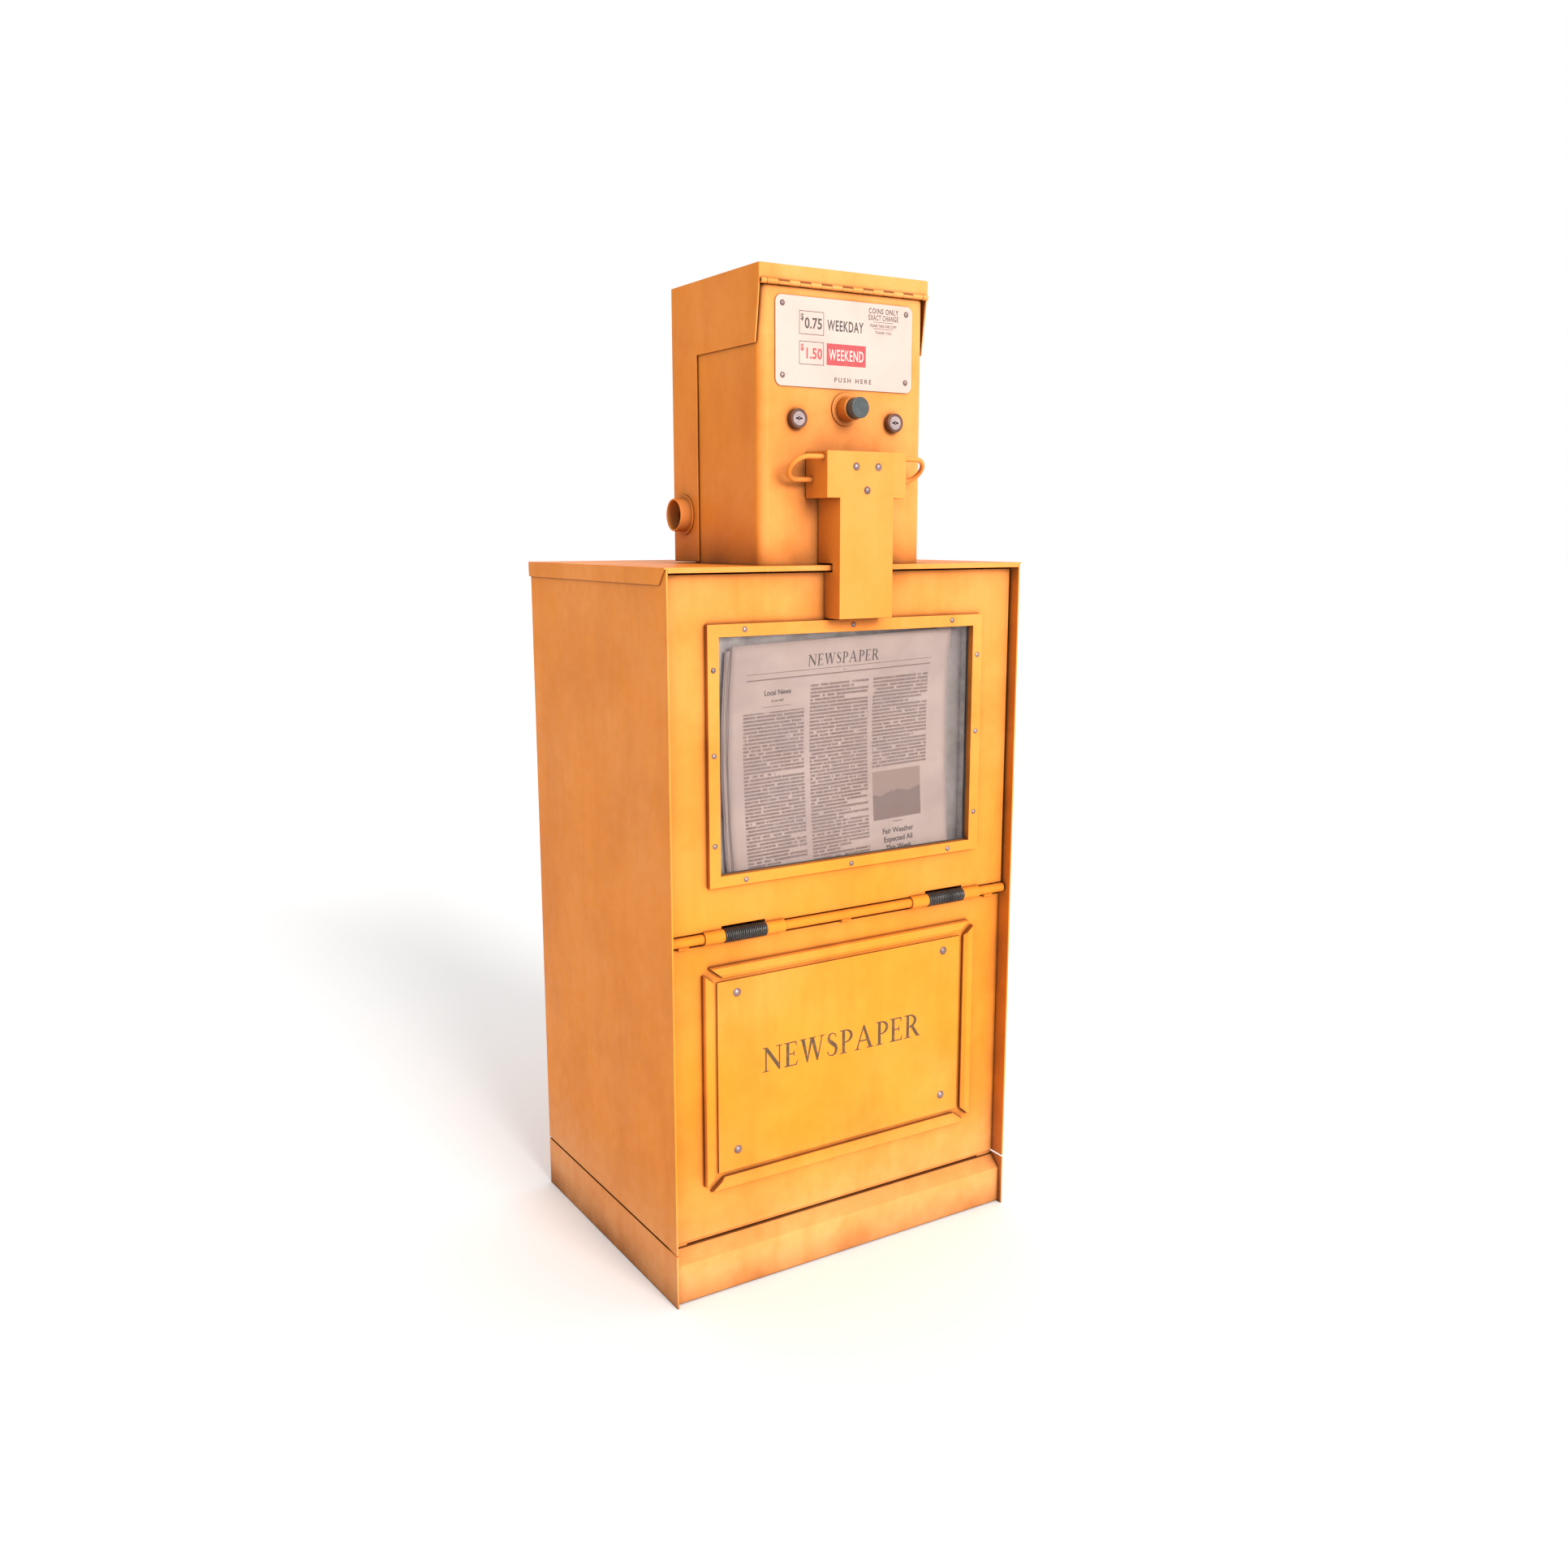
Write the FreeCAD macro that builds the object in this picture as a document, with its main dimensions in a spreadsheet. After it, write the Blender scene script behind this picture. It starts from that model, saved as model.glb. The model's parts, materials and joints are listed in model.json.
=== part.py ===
import FreeCAD, Part
import os

import Sketcher
from FreeCAD import Placement, Rotation, Vector

# A coin operated newspaper box: a folded steel cabinet on a skirt, a drop-down display door
# on a sprung rod, and a coin housing with a lift-up hood on the lid.
# +Z is up, the front faces -Y, and the origin is on the floor at the middle of the cabinet.

doc = FreeCAD.newDocument("newspaper_box")

# --- the driving dimensions, in millimetres ------------------------------------------------
CELLS = {
    # cabinet
    "depth": 389, "width": 504, "lid_width": 508, "cabinet_height": 875, "metal": 2,
    "flange": 24, "seam_gap": 3, "skirt_height": 67, "floor_metal": 3,
    "door_recess": 14, "lower_recess": 21.6, "jamb_recess": 38,
    "kick_recess": 6.3, "kick_bend": 49.7, "kick_top": 64, "anchor_across": 400,
    "anchor_along": 280, "anchor_r": 6.5, "bolt_r": 4, "bolt_hole_r": 4.3,
    "lid_lip": 19, "lid_hem": 6, "lip_in": 2, "lip_slant": 13, "base_bolt_x": 238,
    "base_bolt_front": -120, "base_bolt_rear": 150, "kick_reach": 45, "jamb_front": 30,
    "bumper_r": 5, "bumper_x": 240, "bumper_low": 500, "bumper_high": 820, "lower_pan": 18,
    "plate_hole_r": 2.5, "shelf_in": 46, "shelf_lip": 16, "shelf_lip_half": 220,
    "lower_panel_low": 71, "lower_panel_top": 437, "shelf_level": 478,
    # card rails and name plate on the lower front
    "rail_out": 203, "rail_low": 127.8, "rail_top": 409.7, "rail_wide": 15, "rail_deep": 7.5,
    "rail_bevel": 3, "rail_mitre": 8, "rail_edge": 1.5, "plate_half": 183, "plate_low": 148,
    "plate_top": 389,
    "plate_screw_across": 312, "plate_screw_low": 172.7, "plate_screw_top": 372.8,
    # rod hinge
    "rod_r": 6, "rod_half": 247, "rod_in": 13.1, "rod_level": 448.3, "running": 0.05,
    "collar_r": 8, "collar_near": 95, "spring_near": 121, "spring_far": 178.5,
    "collar_far": 205, "spring_r": 9.2, "coil_ridge": 0.9, "bracket_x": 228,
    # door
    "door_half": 246.5, "door_low": 455.6, "door_top": 866.5, "door_pan": 22,
    "window_half": 183.5, "window_low": 521, "window_top": 797,
    "frame_half": 198, "frame_low": 508.1, "frame_top": 811.2, "frame_proud": 7,
    "window_screw_x": 190.8, "window_screw_far": 149.5, "window_screw_high": 804.7,
    "window_screw_down": 513.4, "screw_r": 1.6, "frame_metal": 1.6, "glazing_lap": 4,
    "gasket": 1, "pane": 3, "retainer": 1.5,
    # newspapers in their holder
    "paper_wide": 318, "paper_tall": 295, "paper_thick": 3, "paper_lean": 1.8,
    "paper_level": 641.9, "paper_front": 22.2, "paper_next": 25.6, "holder_half": 186,
    "holder_low": 488, "holder_top": 800, "holder_front": 21.8, "holder_back": 33,
    "holder_metal": 1.2,
    # handle cover
    "tee_out": 18.7, "tee_half": 55.25, "tee_low": 951.4, "tee_top": 1003.6,
    "stem_half": 37.5, "stem_low": 813.4, "tee_back": 27, "loop_r": 2.9, "loop_reach": 37,
    "loop_front": -10.5, "loop_high": 997, "loop_back": 13.8, "loop_down": 972.1,
    "handle_rivet_x": 15.5, "handle_rivet_high": 986.5, "handle_rivet_low": 960,
    "handle_rivet_r": 2.5, "tongue_top": 980, "tongue_low": 964.5, "tongue_notch": 973,
    "hook_front": 46, "hook_rear": 56, "tongue_end": 62,
    # coin housing
    "total_height": 1207, "hood_in": 26.3, "hood_half": 117.5, "hood_depth": 210.2,
    "hood_lip": 16.4, "flap_in": 36, "flap_low": 1122, "seam_in": 173.5, "hood_low": 877,
    "face_in": 28.8, "face_half": 115, "face_round": 12, "face_back": 185, "face_top": 1184,
    "house_bolt_x": 90, "house_bolt_in": 50, "house_bolt_far": 165,
    "pin_in": 25.8, "pin_level": 1187.5, "pin_r": 1.2, "knuckle_r": 3, "hinge_half": 108,
    "card_half": 95.5, "card_low": 1076.3, "card_top": 1175, "card_round": 8,
    "card_rivet_x": 86.4, "card_rivet_low": 1088, "card_rivet_high": 1166, "card_thick": 1.5,
    "card_hole_r": 1.9,
    "lock_x": 68, "lock_level": 1040.5, "lock_r": 11, "plug_r": 8, "barrel_r": 9.4,
    "plunger_level": 1053.6, "flange_r": 18.7, "boss_r": 13.6, "neck_r": 11, "head_r": 12,
    "boss_long": 20, "head_out": 33, "travel": 8, "stem_r": 4.5,
    "cup_in": 208, "cup_level": 934, "cup_flange_r": 24.4, "cup_r": 20, "cup_bore_r": 17.8,
    "cup_out": 16, "slot_x": 6, "slot_in": 185, "latch_bar_x": 108, "latch_bar": 3,
    "latch_in": 82, "latch_level": 990, "latch_lift": 16, "lever_in": 75, "lever_level": 1085,
    "latch_slot_low": 962, "latch_slot_top": 986, "lever_gap": 4, "plate_x": 26,
    "spring_seat_in": 56, "chute_low": 1112, "rejector_low": 1000, "trough_low": 918,
    "trough_high": 984, "trough_deep": 14, "tray_high": 34,
}
sheet = doc.addObject("Spreadsheet::Sheet", "Sizes")
for row, (name, number) in enumerate(CELLS.items(), 1):
    sheet.set(f"A{row}", name)
    sheet.set(f"B{row}", str(number))
    sheet.setAlias(f"B{row}", name)
doc.recompute()


class Size:
    """A length that knows both its value and the words that give it from the sheet."""

    def __init__(self, words, value):
        self.words = words
        self.value = value

    def mix(self, sign, other, value):
        return Size(f"({self.words} {sign} {words(other)})", value)

    def __add__(self, other):
        return self.mix("+", other, self.value + number(other))

    def __sub__(self, other):
        return self.mix("-", other, self.value - number(other))

    def __mul__(self, other):
        return self.mix("*", other, self.value * number(other))

    def __truediv__(self, other):
        return self.mix("/", other, self.value / number(other))

    def __neg__(self):
        return Size(f"(0 - {self.words})", -self.value)

    def __rmul__(self, other):
        return self * other

    def __radd__(self, other):
        return self + other

    def __rsub__(self, other):
        return -self + other


def words(size):
    return size.words if isinstance(size, Size) else str(size)


def number(size):
    return size.value if isinstance(size, Size) else size


class Cells:
    """The sheet's cells as attributes: cell.depth is the size called depth."""

    def __getattr__(self, name):
        return Size(f"Sizes.{name}", float(sheet.get(name)))


cell = Cells()
front = -cell.depth / 2
back = cell.depth / 2


def inward(size):
    """A depth measured back from the front edges of the side panels."""
    return front + size


def bind(thing, where, size):
    thing.setExpression(where, words(size))


# --- solids --------------------------------------------------------------------------------
def block(name, xs, ys, zs):
    """A box between a low and a high size along each axis."""
    solid = doc.addObject("Part::Box", name)
    for side, axis, (low, high) in zip(("Length", "Width", "Height"), "xyz", (xs, ys, zs)):
        bind(solid, side, Size(f"({words(high)}) - ({words(low)})", 0))
        bind(solid, f"Placement.Base.{axis}", low)
    return solid


ALONG = {"x": Rotation(Vector(0, 1, 0), 90), "y": Rotation(Vector(1, 0, 0), -90), "z": Rotation()}


def bar(name, radius, axis, span, centre):
    """A round bar along an axis; centre gives its place on the two other axes in order."""
    solid = doc.addObject("Part::Cylinder", name)
    solid.Placement = Placement(Vector(), ALONG[axis])
    bind(solid, "Radius", radius)
    bind(solid, "Height", Size(f"({words(span[1])}) - ({words(span[0])})", 0))
    others = [letter for letter in "xyz" if letter != axis]
    for letter, size in zip([axis, *others], [span[0], *centre]):
        bind(solid, f"Placement.Base.{letter}", size)
    return solid


def dome(name, radius, height, place):
    """A shallow dome facing -Y: the cap of a ball that a flat face cuts at the given place."""
    ball = doc.addObject("Part::Sphere", f"{name}_ball")
    ball_r = (radius * radius + height * height) / (2 * height)
    x, y, z = place
    bind(ball, "Radius", ball_r)
    for axis, size in zip("xyz", (x, y + ball_r - height, z)):
        bind(ball, f"Placement.Base.{axis}", size)
    side = radius + 1
    trim = block(f"{name}_trim", (x - side, x + side), (y - height - 1, y), (z - side, z + side))
    cap = doc.addObject("Part::Common", name)
    cap.Base = ball
    cap.Tool = trim
    return cap


def fuse(name, *solids):
    whole = doc.addObject("Part::MultiFuse", name)
    whole.Shapes = list(solids)
    whole.Refine = True
    return whole


def cut(name, base, *tools):
    rest = doc.addObject("Part::Cut", name)
    rest.Base = base
    rest.Tool = tools[0] if len(tools) == 1 else fuse(f"{name}_tools", *tools)
    rest.Refine = True
    return rest


def group(name, *solids):
    """Several like pieces that share a node and stay separate solids."""
    pieces = doc.addObject("Part::Compound", name)
    pieces.Links = list(solids)
    return pieces


def ring(name, outer, inner, axis, span, centre):
    return cut(name, bar(f"{name}_outer", outer, axis, span, centre),
               bar(f"{name}_inner", inner, axis, (span[0] - 1, span[1] + 1), centre))


def screw_stack(name, axis_y, head_r, head_high, shank_r, reach, x, z):
    """A dome headed fastener driven in along +Y from the face at axis_y."""
    shank = bar(f"{name}_shank", shank_r, "y", (axis_y, axis_y + reach), (x, z))
    return fuse(name, dome(f"{name}_head", head_r, head_high, (x, axis_y, z)), shank)


# --- bodies made from sketches -------------------------------------------------------------
def new_body(name):
    return doc.addObject("PartDesign::Body", name)


def new_sketch(body, plane, level):
    """A sketch on one of the body's own origin planes, moved to a level along its axis."""
    sketch = body.newObject("Sketcher::SketchObject", f"{body.Name}_sketch")
    role = f"{plane}_Plane"
    sketch.AttachmentSupport = [(next(f for f in body.Origin.OriginFeatures if f.Role == role), "")]
    sketch.MapMode = "FlatFace"
    bind(sketch, "AttachmentOffset.Base.z", -level if plane == "XZ" else level)
    return sketch


def hold(sketch, kind, geometry, point, size):
    index = sketch.addConstraint(Sketcher.Constraint(kind, -1, 1, geometry, point, number(size)))
    if isinstance(size, Size):
        sketch.setExpression(f"Constraints[{index}]", size.words)


def draw_polygon(sketch, corners):
    first = sketch.GeometryCount
    spots = [Vector(number(u), number(v), 0) for u, v in corners]
    for here, there in zip(spots, spots[1:] + spots[:1]):
        sketch.addGeometry(Part.LineSegment(here, there), False)
    for step, (u, v) in enumerate(corners):
        line = first + step
        following = first + (step + 1) % len(corners)
        sketch.addConstraint(Sketcher.Constraint("Coincident", line, 2, following, 1))
        hold(sketch, "DistanceX", line, 1, u)
        hold(sketch, "DistanceY", line, 1, v)


def draw_circle(sketch, u, v, radius):
    spot = Vector(number(u), number(v), 0)
    circle = sketch.addGeometry(Part.Circle(spot, Vector(0, 0, 1), number(radius)), False)
    hold(sketch, "DistanceX", circle, 3, u)
    hold(sketch, "DistanceY", circle, 3, v)
    index = sketch.addConstraint(Sketcher.Constraint("Radius", circle, number(radius)))
    sketch.setExpression(f"Constraints[{index}]", words(radius))


def feature(body, kind, plane, span, polygons=(), circles=()):
    """Pads or pockets a sketch on a plane from the low to the high level of span."""
    sketch = new_sketch(body, plane, Size(words(span[0]), number(span[0])))
    for corners in polygons:
        draw_polygon(sketch, corners)
    for circle in circles:
        draw_circle(sketch, *circle)
    solid = body.newObject(f"PartDesign::{kind}", f"{body.Name}_{kind}")
    solid.Profile = sketch
    bind(solid, "Length", Size(f"({words(span[1])}) - ({words(span[0])})", 0))
    solid.Reversed = (plane == "XZ") == (kind == "Pad")
    solid.Refine = True
    sketch.Visibility = False
    return solid


def pad(body, plane, span, *polygons):
    feature(body, "Pad", plane, span, polygons)
    return body


def pocket(body, plane, span, *polygons):
    feature(body, "Pocket", plane, span, polygons)
    return body


def drill(body, plane, span, *circles):
    feature(body, "Pocket", plane, span, circles=circles)
    return body


def profile(name, plane, span, corners):
    return pad(new_body(name), plane, span, corners)


def rectangle(us, vs):
    (left, right), (low, high) = us, vs
    return [(left, low), (right, low), (right, high), (left, high)]


def around(half):
    return (-half, half)


def round_edges(body, radius, wanted):
    """Rounds the edges of the body's last feature whose middle and direction are wanted."""
    doc.recompute()
    base = body.Tip
    names = []
    for index, edge in enumerate(base.Shape.Edges, 1):
        box = edge.BoundBox
        if wanted(box):
            names.append(f"Edge{index}")
    fillet = body.newObject("PartDesign::Fillet", f"{body.Name}_round")
    fillet.Base = (base, names)
    bind(fillet, "Radius", radius)
    return body


# --- skirt and base ------------------------------------------------------------------------
half = cell.width / 2
inside = half - cell.metal
fit = 0.2
panel_low = cell.skirt_height + cell.seam_gap


def make_base():
    """The skirt is one sheet bent round the sides and back, with a shelf flange at its top."""
    skirt = new_body("base_skirt")
    pad(skirt, "XY", (0, cell.skirt_height),
        [(-half, front), (-half, back), (half, back), (half, front), (inside, front),
         (inside, back - cell.metal), (-inside, back - cell.metal), (-inside, front)])
    top = (cell.skirt_height - cell.metal, cell.skirt_height)
    ledge = inside - cell.flange
    pad(skirt, "XY", top, rectangle((-inside, -ledge), (inward(cell.flange), back - cell.metal)),
        rectangle((ledge, inside), (inward(cell.flange), back - cell.metal)))
    bolt_spots = [(x, y) for x in (-cell.base_bolt_x, cell.base_bolt_x)
                  for y in (cell.base_bolt_front, cell.base_bolt_rear)]
    drill(skirt, "XY", (top[0] - 1, top[1] + 1), *[(x, y, cell.bolt_hole_r) for x, y in bolt_spots])

    floor = new_body("base_floor")
    pad(floor, "XY", (0, cell.floor_metal),
        rectangle(around(inside - fit),
                  (inward(cell.kick_recess + cell.metal) + 0.3, back - cell.metal - fit)))
    anchors = [(sx * cell.anchor_across / 2, sy * cell.anchor_along / 2, cell.anchor_r)
               for sx in (-1, 1) for sy in (-1, 1)]
    drill(floor, "XY", (-cell.metal, cell.floor_metal + 1), *anchors)

    bend_y = inward(cell.kick_recess)
    rear = inward(cell.kick_reach)
    mitre = 0.8
    profile("kick_plate", "YZ", around(inside - fit),
            [(inward(cell.lower_recess), cell.kick_top), (bend_y, cell.kick_bend),
             (bend_y, cell.metal), (bend_y + cell.metal, cell.metal),
             (bend_y + cell.metal, cell.kick_bend - mitre),
             (inward(cell.lower_recess) + mitre, cell.kick_top - cell.metal),
             (rear, cell.kick_top - cell.metal), (rear, cell.kick_top)])

    cabinet_floor = new_body("cabinet_floor")
    pad(cabinet_floor, "XY", (cell.skirt_height, panel_low),
        rectangle(around(inside - fit), (inward(cell.flange), back - cell.metal - fit)))
    drill(cabinet_floor, "XY", (cell.skirt_height - 1, panel_low + 1),
          *[(x, y, cell.bolt_hole_r) for x, y in bolt_spots])
    return bolt_spots


def make_cabinet(bolt_spots):
    """Side panels, jambs, back, lid and the pan that closes the lower front."""
    lid_under = cell.cabinet_height - cell.metal
    for side, sign in (("left", -1), ("right", 1)):
        panel = new_body(f"side_panel_{side}")
        outer, inner, edge = sign * half, sign * inside, sign * (inside - cell.flange)
        low, high = (outer, inner) if sign < 0 else (inner, outer)
        pad(panel, "XY", (panel_low, lid_under), rectangle((low, high), (front, back - cell.metal)))
        low, high = (inner, edge) if sign < 0 else (edge, inner)
        ledge = rectangle((low, high), (inward(cell.jamb_recess + 5), back - cell.metal))
        pad(panel, "XY", (panel_low, panel_low + cell.metal), ledge)
        pad(panel, "XY", (lid_under - cell.metal, lid_under), ledge)
        drill(panel, "XY", (panel_low - 1, panel_low + cell.metal + 1),
              *[(x, y, cell.bolt_hole_r) for x, y in bolt_spots if number(x) * sign > 0])

    profile("back_panel", "XZ", (back - cell.metal, back),
            rectangle(around(half), (panel_low, lid_under)))

    jambs = []
    for sign in (-1, 1):
        wall, leg, lip = sign * inside, sign * (inside - cell.metal), sign * (inside - cell.flange)
        jamb_face = inward(cell.jamb_recess)
        edge = inward(cell.jamb_front)
        corners = [(wall, edge), (wall, jamb_face + cell.metal), (lip, jamb_face + cell.metal),
                   (lip, jamb_face), (leg, jamb_face), (leg, edge)]
        jambs.append(profile(f"jamb_{'left' if sign < 0 else 'right'}", "XY",
                             (cell.lower_panel_top + 1, lid_under - cell.metal), corners))
    group("door_jambs", *jambs)

    door_back = inward(cell.door_recess + cell.door_pan)
    deep = (door_back + 0.4, inward(cell.jamb_recess))
    spots = [(x, z) for x in (-cell.bumper_x, cell.bumper_x)
             for z in (cell.bumper_low, cell.bumper_high)]
    group("door_bumpers", *[bar(f"bumper_{index}", cell.bumper_r, "y", deep, spot)
                            for index, spot in enumerate(spots)])

    pan = new_body("lower_front_panel")
    pan_half = inside - fit
    deep = (inward(cell.lower_recess), inward(cell.lower_recess + cell.lower_pan))
    tall = (cell.lower_panel_low, cell.lower_panel_top)
    pad(pan, "XZ", deep, rectangle(around(pan_half), tall))
    pocket(pan, "XZ", (deep[0] + cell.metal, deep[1] + 1),
           rectangle(around(pan_half - cell.metal), (tall[0] + cell.metal, tall[1] - cell.metal)))
    drill(pan, "XZ", (deep[0] - 1, deep[0] + cell.metal + 1),
          *[(x, z, cell.plate_hole_r) for x, z in plate_screws()])

    lid = new_body("lid")
    over = cell.lid_width / 2
    rear = back + cell.metal
    pad(lid, "XY", (lid_under, cell.cabinet_height), rectangle(around(over), (front, rear)))
    lip_low = cell.cabinet_height - cell.lid_lip
    for low, high in ((-over, -half), (half, over)):
        pad(lid, "YZ", (low, high),
            [(inward(cell.lip_in), lid_under), (inward(cell.lip_in + cell.lip_slant), lip_low),
             (rear, lip_low), (rear, lid_under)])
    pad(lid, "XZ", (back, rear), rectangle(around(half), (lip_low, lid_under)))
    pad(lid, "XZ", (front, inward(cell.metal)),
        rectangle(around(inside - fit), (cell.cabinet_height - cell.lid_hem, lid_under)))
    drill(lid, "XY", (lid_under - 1, cell.cabinet_height + 1),
          *[(x, y, cell.bolt_hole_r) for x, y in housing_bolt_spots()])

    shelf = new_body("newspaper_shelf")
    shelf_top = cell.shelf_level + cell.metal
    shelf_front = inward(cell.shelf_in)
    pad(shelf, "XY", (cell.shelf_level, shelf_top),
        rectangle(around(inside - cell.metal), (shelf_front, back - 3 * cell.metal)))
    pad(shelf, "XZ", (shelf_front, shelf_front + cell.metal),
        rectangle(around(cell.shelf_lip_half),
                  (cell.shelf_level - cell.shelf_lip, cell.shelf_level)))
    brackets = []
    for sign in (-1, 1):
        wall, leg, lip = sign * inside, sign * (inside - cell.metal), sign * (inside - cell.flange)
        under = cell.shelf_level - cell.metal
        foot = cell.shelf_level - cell.flange
        corners = [(wall, foot), (wall, cell.shelf_level), (lip, cell.shelf_level), (lip, under),
                   (leg, under), (leg, foot)]
        brackets.append(profile(f"bracket_{'left' if sign < 0 else 'right'}", "XZ",
                                (shelf_front + 2 * cell.metal, back - 6 * cell.metal), corners))
    group("shelf_brackets", *brackets)


def plate_screws():
    x = cell.plate_screw_across / 2
    return [(sign * x, z) for sign in (-1, 1) for z in (cell.plate_screw_low, cell.plate_screw_top)]


def housing_bolt_spots():
    return [(x, y) for x in (-cell.house_bolt_x, cell.house_bolt_x)
            for y in (inward(cell.house_bolt_in), inward(cell.house_bolt_far))]


def hex_bolt(name, x, y, top, shank, nut_top):
    """A hexagon bolt standing head up on top, with its nut drawn up under nut_top."""
    across = shank * 2
    thick = shank * 1.6
    tail = thick + shank * 0.6
    parts = []
    for kind, low in (("head", top), ("nut", nut_top - thick)):
        hexagon = doc.addObject("Part::Prism", f"{name}_{kind}")
        hexagon.Polygon = 6
        bind(hexagon, "Circumradius", across)
        bind(hexagon, "Height", thick)
        for axis, size in zip("xyz", (x, y, low)):
            bind(hexagon, f"Placement.Base.{axis}", size)
        parts.append(hexagon)
    parts.append(bar(f"{name}_shank", shank, "z", (nut_top - tail, top), (x, y)))
    return fuse(name, *parts)


def make_bolts(bolt_spots):
    """Bolts join floor, panels and skirt below, and the coin housing to the lid above."""
    ledge_top = panel_low + cell.metal
    ledge_under = cell.skirt_height - cell.metal
    low = [hex_bolt(f"base_bolt_{i}", x, y, ledge_top, cell.bolt_r, ledge_under)
           for i, (x, y) in enumerate(bolt_spots)]
    top = [hex_bolt(f"lid_bolt_{i}", x, y, cell.cabinet_height + cell.metal, cell.bolt_r,
                    cell.cabinet_height - cell.metal)
           for i, (x, y) in enumerate(housing_bolt_spots())]
    group("cabinet_bolts", *low, *top)


def make_card_rails():
    """Four bevelled bars with mitred ends that frame the name plate."""
    face = inward(cell.lower_recess)
    proud = face - cell.rail_deep
    bevel, wide, out = cell.rail_bevel, cell.rail_wide, cell.rail_out
    depths = (face, proud + bevel, proud)
    section = [(0, 0), (0, 1), (1, 2), (2, 2), (3, 1), (3, 0)]
    slope = bevel * 1.6
    rails = []
    for label, edge, inner in (("low", cell.rail_low, 1), ("top", cell.rail_top, -1)):
        across = [edge, edge + inner * cell.rail_edge, edge + inner * (wide - slope),
                  edge + inner * wide]
        corners = [(depths[v], across[u]) for u, v in section]
        rail = profile(f"rail_{label}", "YZ", around(out - cell.rail_mitre), corners)
        for sign in (-1, 1):
            tip = sign * (out - cell.rail_mitre)
            pocket(rail, "XZ", (proud - 1, face + 1),
                   [(tip, edge), (tip + sign * 2, edge), (tip + sign * 2, edge + inner * (wide + 1)),
                    (tip - sign * (wide + 5), edge + inner * (wide + 1))])
        rails.append(rail)
    low = cell.rail_low + cell.rail_mitre
    top = cell.rail_top - cell.rail_mitre
    for label, sign in (("left", -1), ("right", 1)):
        across = [sign * out, sign * (out - cell.rail_edge), sign * (out - wide + slope),
                  sign * (out - wide)]
        corners = [(across[u], depths[v]) for u, v in section]
        rail = profile(f"rail_{label}", "XY", (low, top), corners)
        for tip, inner in ((low, 1), (top, -1)):
            pocket(rail, "XZ", (proud - 1, face + 1),
                   [(sign * out, tip), (sign * out, tip - inner * 2),
                    (sign * (out - wide - 1), tip - inner * 2),
                    (sign * (out - wide - 1), tip + inner * (wide - 2))])
        rails.append(rail)
    group("card_rails", *rails)

    plate = new_body("name_plate")
    pad(plate, "XZ", (face - cell.metal, face),
        rectangle(around(cell.plate_half), (cell.plate_low, cell.plate_top)))
    drill(plate, "XZ", (face - cell.metal - 1, face + 1),
          *[(x, z, cell.plate_hole_r) for x, z in plate_screws()])
    head_r, head_high, shank_r, reach = 5.5, 2.6, 2.4, 9
    group("name_plate_screws",
          *[screw_stack(f"plate_screw_{i}", face - cell.metal, head_r, head_high, shank_r, reach, x, z)
            for i, (x, z) in enumerate(plate_screws())])


# --- the rod the door turns on -------------------------------------------------------------
def make_rod_hinge():
    """A plain rod across the cabinet; collars welded under the door turn on it."""
    centre = (inward(cell.rod_in), cell.rod_level)
    bar("hinge_rod", cell.rod_r, "x", around(cell.rod_half), centre)
    brackets = []
    foot_half, foot_front, foot_rear, toe_front = 7, 16.5, 32, 10
    for index, x in enumerate((-cell.bracket_x, 0, cell.bracket_x)):
        foot = block(f"rod_foot_{index}", (x - foot_half, x + foot_half),
                     (inward(foot_front), inward(foot_rear)),
                     (cell.lower_panel_top, cell.rod_level))
        seat = bar(f"rod_seat_{index}", cell.rod_r, "x", (x - foot_half - 3, x + foot_half + 3),
                   centre)
        toe = block(f"rod_toe_{index}", (x - foot_half - 2, x + foot_half + 2),
                    (inward(toe_front), inward(foot_front) + 0.1),
                    (cell.lower_panel_top - 1, cell.rod_level + 1))
        brackets.append(cut(f"rod_bracket_{index}", foot, seat, toe))
    group("rod_brackets", *brackets)

    collars = []
    springs = []
    weld_high = 6
    for side, sign in (("left", -1), ("right", 1)):
        for place, near, far in (("inner", cell.collar_near, cell.spring_near),
                                 ("outer", cell.spring_far, cell.collar_far)):
            span = sorted((sign * near, sign * far), key=number)
            collar = ring(f"collar_{side}_{place}_round", cell.collar_r, cell.rod_r + cell.running,
                          "x", span, centre)
            weld = block(f"collar_{side}_{place}_flat", (span[0] - 1, span[1] + 1),
                         (inward(cell.door_recess) - 0.1, inward(30)),
                         (cell.door_low, cell.door_low + weld_high))
            collars.append(cut(f"collar_{side}_{place}", collar, weld))
        springs.append(make_spring(side, sign, centre))
    group("door_knuckles", *collars)
    group("door_springs", *springs)


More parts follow.
